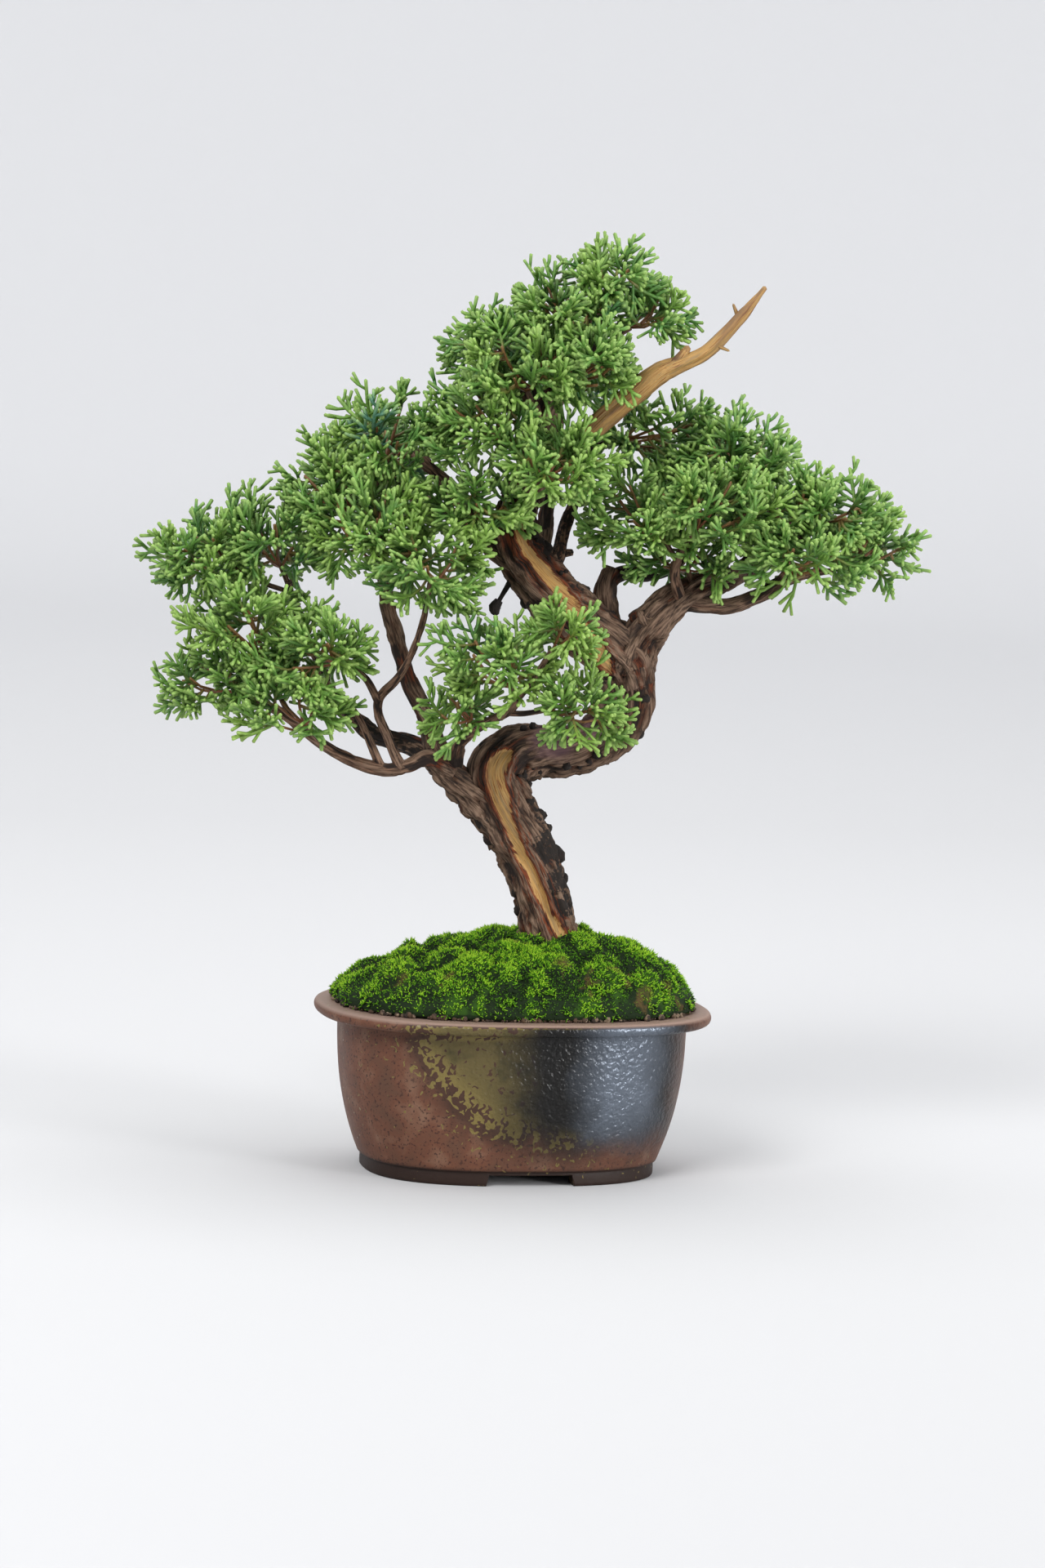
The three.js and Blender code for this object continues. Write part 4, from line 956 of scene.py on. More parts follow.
    def add_limb(self, surface: Surface, name: str, limb: Limb) -> None:
        """Adds one limb: a profile of its radius and relief carried along its centre line.

        Args:
            surface: The wood's surface.
            name: The limb's name.
            limb: The limb.
        """
        thickest = limb.rows[:, 3].max()
        step = (self.fine_step if thickest > 6 else self.ring_step) * self.coarse
        t, run = limb.even(step)
        columns = int(np.clip(2 * math.pi * thickest / step, 8, self.most_columns))
        centre, side, other = limb.frames(t)
        angle = circle(columns)
        radius = limb.radius(t) * (1 + self.root_flare * np.exp(-run / (0.8 * limb.rows[0, 3])))
        grid_t, grid_angle = np.meshgrid(t, angle, indexing="ij")
        grid_run = np.broadcast_to(run[:, None], grid_t.shape)
        out = spokes(side, other, angle)
        shape, values = self.relief(name, grid_t, grid_run, grid_angle, radius[:, None], thickest,
                                    centre[:, None] + out * radius[:, None, None])
        points = centre[:, None] + out * (radius[:, None] * shape)[..., None]
        ends = np.stack([centre[0], centre[-1] + (centre[-1] - centre[-2]) * 0.6])
        total = np.concatenate([points.reshape(-1, 3), ends])
        flat = {key: np.concatenate([value.reshape(-1), value[0, :1], value[-1, :1]])
                for key, value in values.items()}
        surface.add(self.frame.tree(total), *tube_faces(len(t), columns), **flat)

    def relief(self, name: str, t: Array, run: Array, angle: Array, radius: Array, thickest: float,
               points: Array) -> tuple[Array, dict[str, Array]]:
        """The shape of a limb's section and its values at each point.

        The bark is long flakes with steep edges, cut by fibres that run along the limb. Both are noise
        whose cells are much longer than they are wide.

        Args:
            name: The limb's name.
            t: Place along the limb, from 0 to 1.
            run: Distance along it.
            angle: Angle round it, from the side that faces the viewer.
            radius: Its radius.
            thickest: Its greatest radius.
            points: Places on the limb before its relief.

        Returns:
            The share of the radius at each point, and the values by name.
        """
        cover = self.COVER.get(name, Bark.ROUGH)
        seed = sum(map(ord, name)) + int(abs(points[0, 0, 0]) * 7)
        shape = np.ones_like(t)
        if thickest >= self.relief_least_radius:
            for height, count, wind, start in (self.ridges, self.flutes):
                shape = shape + height * np.cos(count * angle + wind * t + start)
        turned = angle + run / self.spiral_mm
        around = np.stack([np.cos(turned) * radius, np.sin(turned) * radius, run], axis=-1)
        plates = layered_noise(around / self.PLATE_CELL, 3, seed)
        flakes = ease(-0.28, -0.08, plates) + ease(0.12, 0.3, plates) - 1
        fibres = 1 - np.abs(noise(around / self.FIBRE_CELL, seed + 5)) * 2
        grain = layered_noise(around / self.GRAIN_CELL, 3, seed + 9)
        strength = min(1.0, thickest / 6) * min(1.0, 0.3 + thickest / 10)
        rough = self.flake_height * (0.55 * flakes + 0.45 * plates) + self.fibre_height * fibres
        rough = rough * strength
        if cover is Bark.BARE:
            beyond = -self.far * np.ones_like(t)
        else:
            beyond = self.beyond_strip(name, t, angle, radius)
        bare = ease(0.3, -0.3, beyond)
        edge = ease(2.2, 0.6, beyond) * (1 - bare)
        smooth = grain * (0.42 if cover is Bark.BARE else 0.16) * min(1.0, thickest / 3)
        lift = rough * (1 - bare) * (1 - 0.6 * edge) + smooth * bare + 0.35 * edge
        if name in self.STRIPS:
            shape = shape - self.strip_depth * bare
        height = np.clip(0.5 + 0.3 * flakes + 0.2 * plates + 0.16 * fibres, 0, 1)
        dark = {Bark.BLACK: 0.95, Bark.DARK: 0.4}.get(cover, 0.0) * np.ones_like(t)
        lilac = np.zeros_like(t)
        if cover is Bark.OLD:
            front = ease(-0.3, 0.2, np.cos(angle))
            for x, z, reach, kind in self.MARKS:
                away = np.hypot(points[..., 0] - x, points[..., 2] - z) / reach
                near = ease(1.15, 0.55, away + 0.22 * plates) * front
                if kind == "dark":
                    dark = np.maximum(dark, 0.62 * near * (1 - edge))
                elif kind == "lilac":
                    lilac = np.maximum(lilac, 0.6 * near)
                else:
                    height = height + (1 - height) * 0.6 * near
        young = ease(2.8, 1.5, radius * np.ones_like(t)) if cover in (Bark.ROUGH, Bark.DARK) else 0 * t
        streaks = 0.55 * ease(0.0, 0.5, grain)
        if cover is Bark.BARE:
            aged = np.minimum(1, 0.1 + 0.7 * ease(0.55, 0.0, t) + streaks)
        else:
            aged = 0.05 + 0.6 * streaks
        return shape + lift / np.maximum(radius, 0.4), {
            "beyond": beyond, "dark": dark, "young": young * 0.85, "height": height, "lilac": lilac,
            "aged": aged, "flow_x": (around[..., 0] + 3.7 * seed) * MM, "flow_y": around[..., 1] * MM,
            "flow_z": around[..., 2] * MM}

    def beyond_strip(self, name: str, t: Array, angle: Array, radius: Array) -> Array:
        """Distance from the border of the limb's bare strip: below zero on the bare wood.

        Args:
            name: The limb's name.
            t: Place along it.
            angle: Angle round it.
            radius: Its radius.

        Returns:
            The distance in millimetres, at most the far one.
        """
        if name not in self.STRIPS:
            return self.far + 0 * t
        table = np.array(self.STRIPS[name])
        middle = np.radians(np.interp(t, table[:, 0], table[:, 1]))
        half = np.interp(t, table[:, 0], table[:, 2])
        side = np.sign(np.sin(angle - middle))
        waver = 0.5 * noise(np.stack([t * 30, side, angle * 0 + 3], axis=-1), 3)
        away = np.abs((angle - middle + math.pi) % (2 * math.pi) - math.pi)
        gone = self.far * ease(0.06, -0.04, half)
        return np.clip((away - half) * radius + waver + gone, -self.far, self.far)

    def add_knots(self, surface: Surface) -> None:
        """Adds the black knots that show at the trunk's sides, and many small burrs between them.

        Args:
            surface: The wood's surface.
        """
        for name, t, turn, size in self.KNOTS:
            self.add_knot(surface, self.limbs[name], t, math.radians(turn), size)
        for k in range(self.burrs):
            limb = self.limbs["trunk" if draw(k, 1, 41) < 0.7 else "leader"]
            t = float(0.1 + 0.84 * draw(k, 2, 43))
            towards_right = draw(k, 3, 47) < 0.7
            turn = float(math.radians((52 + 95 * draw(k, 4, 53)) * (1 if towards_right else -1)))
            self.add_knot(surface, limb, t, turn, float(0.6 + 1.0 * draw(k, 5, 59) ** 2))

    def add_knot(self, surface: Surface, limb: Limb, t: float, turn: float, size: float) -> None:
        """Adds one uneven knot: a ball whose radius follows noise.

        Args:
            surface: The wood's surface.
            limb: The limb that it sits on.
            t: Place along the limb.
            turn: Angle round it.
            size: Radius.
        """
        places = np.linspace(0, t, max(2, int(60 * t) + 2))
        centre, side, other = (part[-1] for part in limb.frames(places))
        out = side * math.cos(turn) + other * math.sin(turn)
        middle = centre + out * float(limb.radius(np.array([t]))[0]) * 0.97
        rows, columns = (7, 12) if size > 1.4 else (4, 7)
        knot = ball(rows, columns)
        knot *= (1 + 0.3 * noise(knot * 1.2 + middle, 11)
                 + 0.2 * noise(knot * 3.1 + middle, 12))[:, None] * size
        flow = (middle + knot) * MM
        surface.add(self.frame.tree(middle + knot), *tube_faces(rows, columns), beyond=self.far, dark=0.8,
                    height=0.5, flow_x=flow[:, 0], flow_y=flow[:, 1], flow_z=flow[:, 2])


@dataclass
class Spray:
    """One foliage spray: where it lies, how far it reaches and where its twig ends."""

    name: str
    group: str
    centre: Array
    reach: Array
    root: Array
    hub: Array
    start: float
    walls: tuple[Array, Array] | None = None
    tip_radius: float = 0.85

    def support(self, directions: Array) -> Array:
        """How far the spray's oval reaches in each direction."""
        return np.linalg.norm(self.reach * directions, axis=-1)

    def share(self, points: Array) -> Array:
        """Distance of each point from the middle, as a share of the oval's reach there."""
        return np.linalg.norm((points - self.centre) / self.reach, axis=-1)

    def inside(self, points: Array, margin: float) -> Array:
        """True where a point keeps to the spray's own side of every wall.

        Args:
            points: Places, with three numbers in the last axis.
            margin: Distance kept from the walls, in millimetres.

        Returns:
            One truth for each point.
        """
        normals, offsets = self.walls
        return np.all(points @ normals.T < offsets - margin, axis=-1)

    def twig(self) -> Limb:
        """The twig that carries the spray, from its limb to the hub."""
        before = self.hub - 3 * unit(self.centre - self.hub)
        middle = (self.root + before) / 2
        middle[2] -= 0.05 * np.linalg.norm(self.root - before)
        tip = self.tip_radius
        rows = [(self.root, self.start), (middle, (self.start + tip) / 2), (before, tip), (self.hub, tip)]
        return Limb([[*point, radius] for point, radius in rows])


@dataclass
class Cords:
    """Many cords at once: each is a curve from a start to an end, bowed in its middle."""

    start: Array
    end: Array
    bow: Array
    hue: Array

    def __len__(self) -> int:
        """How many cords there are."""
        return len(self.start)

    def length(self) -> Array:
        """The straight length of each cord."""
        return np.linalg.norm(self.end - self.start, axis=-1)

    def points(self, place: Array) -> Array:
        """Places on the curves: the straight line plus the bow times four place times one less place.

        Args:
            place: Places from 0 to 1, one row for each cord.

        Returns:
            One point for each place.
        """
        s = place[..., None]
        straight = self.start[:, None] + (self.end - self.start)[:, None] * s
        return straight + self.bow[:, None] * 4 * s * (1 - s)

    def at(self, place: Array) -> tuple[Array, Array]:
        """The point and the direction of each cord at one place each."""
        s = place[:, None]
        point = self.start + (self.end - self.start) * s + self.bow * 4 * s * (1 - s)
        return point, unit(self.end - self.start + self.bow * 4 * (1 - 2 * s))

    def cut(self, share: Array) -> Cords:
        """The first part of each cord, up to a share of it. The bow shrinks with the share's square."""
        end = self.at(share)[0]
        return Cords(self.start, end, self.bow * share[:, None] ** 2, self.hue)

    def pick(self, keep: Array) -> Cords:
        """The cords that a mask keeps."""
        return Cords(self.start[keep], self.end[keep], self.bow[keep], self.hue[keep])

    @staticmethod
    def join(parts: list[Cords]) -> Cords:
        """Several sets of cords as one."""
        return Cords(*(np.concatenate([getattr(part, name) for part in parts])
                       for name in ("start", "end", "bow", "hue")))


@dataclass
class Foliage:
    """All the sprays. In each one a few boughs leave the hub, fronds fan out of the boughs and turn up at
    their ends, and every frond carries side shoots on both sides, of two orders."""

    VALUES = ("fresh", "depth", "hue", "stem")

    frame: Frame
    wood: Wood
    boughs: int = 6
    fronds: int = 27
    side_shoots: int = 8
    sides: int = 5
    cord_radius: float = 0.66
    bough_radius: float = 0.55
    side_angle: float = math.radians(42)
    twiglet_angle: float = math.radians(36)
    hub_place: float = 0.72
    twig_least: float = 3.5
    twig_most_radius: float = 1.5
    hub_room: float = 2.0
    overlap: float = 8.0
    wood_step: float = 1.5
    fresh_length: float = 2.4
    frond_area: float = 440.0
    direction_span: float = 1.74
    sprays: list[Spray] = field(default_factory=list)

    def __post_init__(self) -> None:
        """Lays out the sprays, the walls between them and the points that stand for the wood."""
        for group, rows in SPRAYS.items():
            for k, (middle, size, limb_name, t) in enumerate(rows):
                name = f"{group}_spray_{k + 1}"
                self.sprays.append(self.lay_out(name, group, middle, size, limb_name, t))
        for spray in self.sprays:
            spray.walls = self.walls_of(spray)
            step = (spray.centre - spray.hub) / 10
            tries = 0
            while tries < 8 and not spray.inside(spray.hub, self.hub_room):
                spray.hub = spray.hub + step
                tries += 1
        self.wood_points, self.wood_radii = self.sample_wood()

    def lay_out(self, name: str, group: str, middle: list[float], size: list[float], limb_name: str,
                t: float) -> Spray:
        """Works out one spray's hub, where its twig ends and its foliage begins.

        Args:
            name: The node that it replaces.
            group: Its part of the crown.
            middle: Its middle.
            size: Its half sizes.
            limb_name: The limb that feeds it.
            t: Place along that limb.

        Returns:
            The spray.
        """
        centre = np.array(middle, dtype=np.float64)
        reach = np.array(size, dtype=np.float64)
        limb = self.wood.limbs[limb_name]
        root = limb.point(np.array([t]))[0]
        radius = float(limb.radius(np.array([t]))[0])
        towards = root - centre
        distance = np.linalg.norm(towards)
        surface = distance / np.linalg.norm(towards / reach)
        inwards = min(self.hub_place * surface, distance - radius - self.twig_least)
        hub = centre + towards / distance * inwards
        return Spray(name, group, centre, reach, root, hub, min(radius * 0.7, self.twig_most_radius))

    def walls_of(self, spray: Spray) -> tuple[Array, Array]:
        """Planes between a spray and every other one, set by how far both reach.

        Args:
            spray: The spray.

        Returns:
            The planes' directions and offsets.
        """
        others = [other for other in self.sprays if other is not spray]
        across = np.array([other.centre - spray.centre for other in others])
        distance = np.linalg.norm(across, axis=-1)
        normals = across / distance[:, None]
        own = spray.support(normals)
        theirs = np.array([other.support(normal) for other, normal in zip(others, normals)])
        return normals, normals @ spray.centre + distance * own / (own + theirs)

    def sample_wood(self) -> tuple[Array, Array]:
        """Points and radii along all the wood, for keeping the foliage clear of it."""
        parts = list(self.wood.limbs.values()) + self.twigs()
        places = [(limb, limb.even(self.wood_step)[0]) for limb in parts]
        points = np.concatenate([limb.point(t) for limb, t in places])
        return points, np.concatenate([limb.radius(t) for limb, t in places])

    def twigs(self) -> list[Limb]:
        """The twigs of all the sprays."""
        return [spray.twig() for spray in self.sprays]

    def fitted(self, spray: Spray, cords: Cords, least: float) -> Cords:
        """Cords cut back to what fits before a wall or the wood, without those that end up too short.

        Args:
            spray: The spray that the cords belong to.
            cords: The cords.
            least: Shortest cord that stays, in millimetres.

        Returns:
            The cords that stay.
        """
        places = np.linspace(0.2, 1, 5)
        points = cords.points(np.broadcast_to(places, (len(cords), 5)))
        away = np.linalg.norm(self.wood_points - spray.centre, axis=1)
        near = away < spray.reach.max() * 1.6 + self.wood_radii
        wood, radii = self.wood_points[near], self.wood_radii[near]
        clear = spray.inside(points, -self.overlap)
        if len(wood):
            gap = np.linalg.norm(points[:, :, None] - wood[None, None], axis=-1) - radii
            clear &= np.min(gap, axis=-1) > self.cord_radius
        blocked = ~clear
        first = np.where(blocked.any(axis=1), blocked.argmax(axis=1), len(places))
        cut = cords.cut(np.concatenate([[0.0], places])[first])
        return cut.pick(cut.length() > least)

    def build(self, material: bpy.types.Material) -> None:
        """Builds one piece for each spray.

        Args:
            material: The finish.
        """
        for seed, spray in enumerate(self.sprays, start=1):
            surface = Surface(self.VALUES)
            self.add_spray(surface, spray, seed)
            piece = surface.make(f"{spray.name}_fronds", material)
            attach(piece, "root")
            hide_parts(spray.name)
            log.info("%s: %d triangles", spray.name, triangles(piece))

    def bough_cords(self, spray: Spray, seed: int) -> Cords:
        """A spray's boughs, from the hub towards even directions, most of them away from the hub.

        Args:
            spray: The spray.
            seed: Number that sets the draws.

        Returns:
            The boughs.
        """
        way = self.directions(seed, self.boughs, 0.35, 40)
        end = spray.centre + way * spray.reach * 0.5
        start = np.broadcast_to(spray.hub, end.shape)
        length = np.linalg.norm(end - start, axis=1)[:, None]
        jitter = self.jitter(seed, np.arange(self.boughs), 50)
        bow = np.array([0.0, 0.0, -0.1]) * length + 0.08 * length * jitter
        return Cords(start, end, bow, np.full(self.boughs, 0.6))

    def directions(self, seed: int, count: int, loose: float, start: int) -> Array:
        """Directions spread evenly by the golden angle, fewest straight down, and then loosened.

        Args:
            seed: Number that sets the draws.
            count: How many directions.
            loose: How far a direction strays.
            start: First number of the draws.

        Returns:
            One unit vector for each.
        """
        k = np.arange(count)
        z = 1 - self.direction_span * (k + 0.5) / count
        angle = k * GOLDEN_ANGLE + 2 * math.pi * draw(seed, 0, start)
        flat = np.sqrt(1 - z * z)
        way = np.stack([flat * np.cos(angle), flat * np.sin(angle), z], axis=-1)
        return unit(way + loose * self.jitter(seed, k, start + 1))

    def frond_cords(self, spray: Spray, boughs: Cords, seed: int) -> Cords:
        """A spray's fronds: each leaves the bough that points most nearly its way and turns up at its end.

        Args:
            spray: The spray.
            boughs: Its boughs.
            seed: Number that sets the draws.

        Returns:
            The fronds.
        """
        count = int(self.fronds * np.prod(spray.reach) ** (2 / 3) / self.frond_area)
        k = np.arange(count)
        way = self.directions(seed, count, 0.34, 60)
        nearest = np.argmax(way @ unit(boughs.end - spray.centre).T, axis=1)
        start = boughs.pick(nearest).at(0.45 + 0.5 * draw(seed, k, 9))[0]
        reach = 0.9 + 0.2 * draw(seed, k, 4) + 0.13 * (draw(seed, k, 5) > 0.8)
        end = spray.centre + way * spray.reach * reach[:, None]
        length = np.linalg.norm(end - start, axis=1)[:, None]
        bow = np.array([0.0, 0.0, -0.13]) * length + 0.09 * length * self.jitter(seed, k, 20)
        nearness = np.clip((spray.centre[1] + 35) / 75, 0, 1)
        hue = 0.14 + 0.46 * draw(seed, k, 80) + 0.3 * nearness + 0.25 * (draw(seed, k, 81) > 0.93)
        return Cords(start, end, bow, np.clip(hue, 0, 1))

    @staticmethod
    def jitter(seed: int, k: Array, start: int) -> Array:
        """Three draws from -1 to 1 for each number."""
        return np.stack([2 * draw(seed, k, start + i) - 1 for i in range(3)], axis=-1)

    def add_spray(self, surface: Surface, spray: Spray, seed: int) -> None:
        """Adds a spray's boughs, fronds and side shoots.

        Args:
            surface: The spray's surface.
            spray: The spray.
            seed: Number that sets the draws.
        """
        boughs = self.fitted(spray, self.bough_cords(spray, seed), 4.0)
        fronds = self.fitted(spray, self.frond_cords(spray, boughs, seed), 6.0)
        k = np.arange(len(fronds))
        upwards = np.array([0.0, -0.4, 0.9]) + 0.8 * self.jitter(seed, k, 70)
        flat = unit(np.cross(fronds.end - fronds.start, upwards))
        length = fronds.length()
        sides = []
        for j in range(self.side_shoots):
            place = 0.14 + 0.76 * (j + 0.4 * draw(seed, k, 100 + j)) / (self.side_shoots - 0.6)
            turn = self.side_angle * (0.8 + 0.4 * draw(seed, k, 90 + j))
            reach = (4.6 + 0.42 * length * (1 - place)) * (0.72 + 0.56 * draw(seed, k, 130 + j))
            hand = (1 if j % 2 else -1) * flat
            sides.append(self.side_cords(fronds, place, hand, turn, reach, seed, 110 + j))
        sides = self.fitted(spray, Cords.join(sides), 1.8)
        k = np.arange(len(sides))
        across = unit(np.cross(sides.end - sides.start, unit(sides.end - spray.centre))
                      + 0.4 * self.jitter(seed, k, 150))
        length = sides.length()
        twiglets = []
        for j, (place, least) in enumerate(((0.36, 5.4), (0.64, 7.2))):
            hand = np.where(((k + j) % 2 == 0)[:, None], across, -across)
            turn = self.twiglet_angle * (0.8 + 0.4 * draw(seed, k, 170 + j))
            reach = (2.8 + 0.45 * length * (1 - place)) * (0.8 + 0.45 * draw(seed, k, 180 + j))
            made = self.side_cords(sides, np.full(len(sides), place), hand, turn, reach, seed, 190 + j)
            twiglets.append(made.pick(length > least))
        twiglets = self.fitted(spray, Cords.join(twiglets), 1.5)
        self.add_cords(surface, spray, boughs, self.bough_radius, seed, (0.3, 0.7), (1.0, 0.8))
        self.add_cords(surface, spray, fronds, self.cord_radius, seed, (0.25, 0.5, 0.75), (0.7, 0.0))
        self.add_cords(surface, spray, sides, self.cord_radius * 0.98, seed, (0.5,))
        self.add_cords(surface, spray, twiglets, self.cord_radius * 0.94, seed)

    def side_cords(self, parents: Cords, place: Array, hand: Array, turn: Array, reach: Array, seed: int,
                   start: int) -> Cords:
        """One side shoot on each parent. It leaves at an angle and bends back towards the parent's way.

        Args:
            parents: The cords that carry them.
            place: Place along each parent.
            hand: The side that each one leaves to.
            turn: Its angle to the parent.
            reach: Its length.
            seed: Number that sets the draws.
            start: First number of the draws.

        Returns:
            The side shoots.
        """
        root, along = parents.at(place)
        out = unit(hand - along * np.sum(hand * along, axis=-1, keepdims=True))
        lift = np.cross(along, out) * (0.7 * (2 * draw(seed, np.arange(len(parents)), start) - 1))[:, None]
        out = unit(out + lift)
        way = along * np.cos(turn)[:, None] + out * np.sin(turn)[:, None]
        bow = (out - way * np.sum(out * way, axis=-1, keepdims=True)) * (0.1 * reach)[:, None]
        return Cords(root, root + way * reach[:, None], bow, parents.hue)

    def add_cords(self, surface: Surface, spray: Spray, cords: Cords, radius: float, seed: int,
                  inner: tuple[float, ...] = (), stem: tuple[float, float] = (0.0, 0.0)) -> None:
        """Adds many cords at once: rings carried along each curve, closed by a point at each end.

        Args:
            surface: The spray's surface.
            spray: The spray.
            cords: The cords.
            radius: Their radius.
            seed: Number that sets the draws.
            inner: Places of the rings between the first and the last one.
            stem: Share of stem colour at the start, and where a third of the cord is left.
        """
        count = len(cords)
        if not count:
            return
        length = cords.length()
        axis = unit(cords.end - cords.start)
        side = unit(np.cross(axis, np.array([0.31, 0.17, 0.93])))
        other = np.cross(axis, side)
        thick = radius * (0.86 + 0.28 * draw(seed, np.arange(count), 200))
        # The last ring lies just short of the end, so the tip is blunt and a little swollen
        last = 1 - np.minimum(0.25, 0.55 * thick / length)
        place = np.stack([np.full(count, 0.04), *(np.full(count, p) * last for p in inner), last], axis=-1)
        share = np.linspace(0.82, 0.96, place.shape[1])
        centre = cords.points(place)
        out = spokes(side, other, circle(self.sides))
        points = centre[:, :, None] + out[:, None] * (thick[:, None] * share)[..., None, None]
        poles = (cords.start[:, None], cords.end[:, None])
        total = np.concatenate([points.reshape(count, -1, 3), *poles], axis=1)
        along = np.repeat(place, self.sides, axis=1)
        along = np.concatenate([along, np.zeros((count, 1)), np.ones((count, 1))], axis=1)
        values = {
            "fresh": np.clip(1 - (1 - along) * length[:, None] / self.fresh_length, 0, 1),
            "depth": spray.share(total),
            "hue": np.broadcast_to(cords.hue[:, None], total.shape[:2]),
            "stem": stem[0] + (stem[1] - stem[0]) * np.minimum(1, along * 1.6),
        }
        surface.add(self.frame.tree(total), *tube_faces(place.shape[1], self.sides, count), **values)


@dataclass
class OvalPot:
    """The oval stoneware pot: a section turned round an oval, in millimetres from the pot's middle."""

    frame: Frame
    power: float = 2.5
    lip: tuple[float, float] = (65.2, 47.6)
    body: tuple[float, float] = (57.5, 39.9)
    foot: tuple[float, float] = (48.4, 34.5)
    height: float = 55.0
    lip_thickness: float = 4.4
    foot_height: float = 5.0
    foot_width: float = 7.0
    foot_shoulder: float = 0.9
    wall: float = 4.0
    floor_underside: float = 4.5
    floor_top: float = 9.5
    belly_curve: float = 2.4
    notch: tuple[float, float, float] = (29.7, 27.8, 3.7)
    drain_radius: float = 5.5
    drain_offset: float = 24.0
    columns: int = 240

    def oval(self, half: Array, angle: Array) -> Array:
        """Distance from the axis to an oval: the sum of the powers of its two shares is one.

        Args:
            half: Half length and half width, in the last axis.
            angle: Directions.

        Returns:
            One distance for each direction.
        """
        along = np.abs(np.cos(angle) / half[..., 0]) ** self.power
        across = np.abs(np.sin(angle) / half[..., 1]) ** self.power
        return (along + across) ** (-1 / self.power)

    def belly(self, z: Array) -> Array:
        """Half sizes of the outer wall at each height: steep at the foot, upright under the lip."""
        rise = (z - self.foot_height) / (self.height - self.lip_thickness - self.foot_height)
        share = (1 - (1 - rise) ** self.belly_curve)[:, None]
        foot = np.array(self.foot) + self.foot_shoulder
        return foot + (np.array(self.body) - foot) * share

    def section(self) -> Array:
        """The section's rings, from the middle of the underside round to the middle of the floor.

        Returns:
            Half length, half width and height of each ring.
        """
        lip, body, foot = (np.array(part) for part in (self.lip, self.body, self.foot))
        under = self.height - self.lip_thickness
        rings = [(foot * share, self.floor_underside) for share in (0.25, 0.55, 0.8)]
        inner = foot - self.foot_width
        rings += [(inner - 0.6, self.floor_underside), (inner, self.floor_underside - 0.6), (inner, 2.0),
                  (inner, 0.5), (inner + 0.4, 0.05), (inner + 0.9, 0.0), (foot - 3, 0.0), (foot - 0.9, 0.0),
                  (foot - 0.35, 0.08), (foot - 0.05, 0.45), (foot, 1.2), (foot, 3.2), (foot - 0.1, 4.1),
                  (foot - 0.15, 4.5), (foot + 0.1, 4.85)]
        heights = self.foot_height + (under - 1.2 - self.foot_height) * np.linspace(0, 1, 34) ** 1.25
        rings += [(half, float(z)) for half, z in zip(self.belly(heights), heights)]
        rings += [(body + 0.1, under - 0.7), (body + 0.5, under - 0.25), (body + 1.3, under),
                  (lip - 3.4, under + 0.1), (lip - 2.0, under + 0.2)]
        bead = np.linspace(-math.pi / 2, math.pi / 2, 11)
        rings += [(lip - 1.7 + 1.7 * math.cos(a), under + 2.2 + 2.0 * math.sin(a)) for a in bead]
        rings += [(lip - 2.6, self.height - 0.14), (lip - 4.5, self.height - 0.1),
                  (body - 1.5, self.height - 0.1), (body - 3.0, self.height - 0.12),
                  (body - 3.6, self.height - 0.4), (body - 3.95, self.height - 1.1)]
        depths = np.linspace(self.height - 3, self.floor_top + 4, 8)
        rings += [(half - self.wall, float(z)) for half, z in zip(self.belly(depths), depths)]
        floor = self.belly(np.array([self.floor_top + 4]))[0] - self.wall
        rings += [(floor - 1, self.floor_top + 2.4), (floor - 2.4, self.floor_top + 0.7),
                  (floor - 4.5, self.floor_top)]
        rings += [(floor * share, self.floor_top) for share in (0.6, 0.3)]
        return np.array([[half[0], half[1], z] for half, z in rings])

    def build(self, material: bpy.types.Material) -> bpy.types.Object:
        """Builds the pot, then cuts its notches and drain holes.

        Args:
            material: The finish.

        Returns:
            The piece.
        """
        rings = self.section()
        angle = circle(self.columns)
        reach = self.oval(rings[:, None, :2], angle[None])
        points = polar(reach, angle, np.broadcast_to(rings[:, 2:], reach.shape))
        wobble = 0.16 * noise(points / 17.0, 21) + 0.05 * noise(points / 5.0, 22)
        outward = unit(points[..., :2])
        mask = ease(5.5, 9, points[..., 2]) * ease(0.5, 0.8, np.linalg.norm(points[..., :2], axis=-1) / 48)
        points[..., :2] += outward * (wobble * mask)[..., None]
        poles = np.array([[0, 0, rings[0, 2]], [0, 0, rings[-1, 2]]])
        total = np.concatenate([points.reshape(-1, 3), poles])
        surface = Surface()
        surface.add(self.frame.planter(total), *tube_faces(len(rings), self.columns))
        pot = surface.make("stoneware_pot", material)
        for cutter in self.cutters():
            self.cut(pot, cutter)
        self.dress(pot)
        log.info("pot: %d triangles", triangles(pot))
        return pot

    def dress(self, pot: bpy.types.Object) -> None:
        """Writes where the ash glaze, its dark part, its lustrous part with its painted sheen, the lip and
        the foot lie.

        The glaze begins on the front's left at a line that slants down to the right and thins out more
        widely lower down. It ends above the foot and before the right end. Noise makes every border uneven.

        Args:
            pot: The piece.
        """
        flat = np.empty(3 * len(pot.data.vertices), np.float32)
        pot.data.vertices.foreach_get("co", flat)
        place = flat.reshape(-1, 3) / MM - self.frame.shift
        x, y, z = place.T
        stray = 2.4 * noise(place / 9.0, 61) + 1.3 * noise(place / 3.4, 62)
        slant = -44 + 0.7 * np.clip(47.5 - z, 0, 40)
        foot_line = 15 - 6 * ease(-2, 12, x)
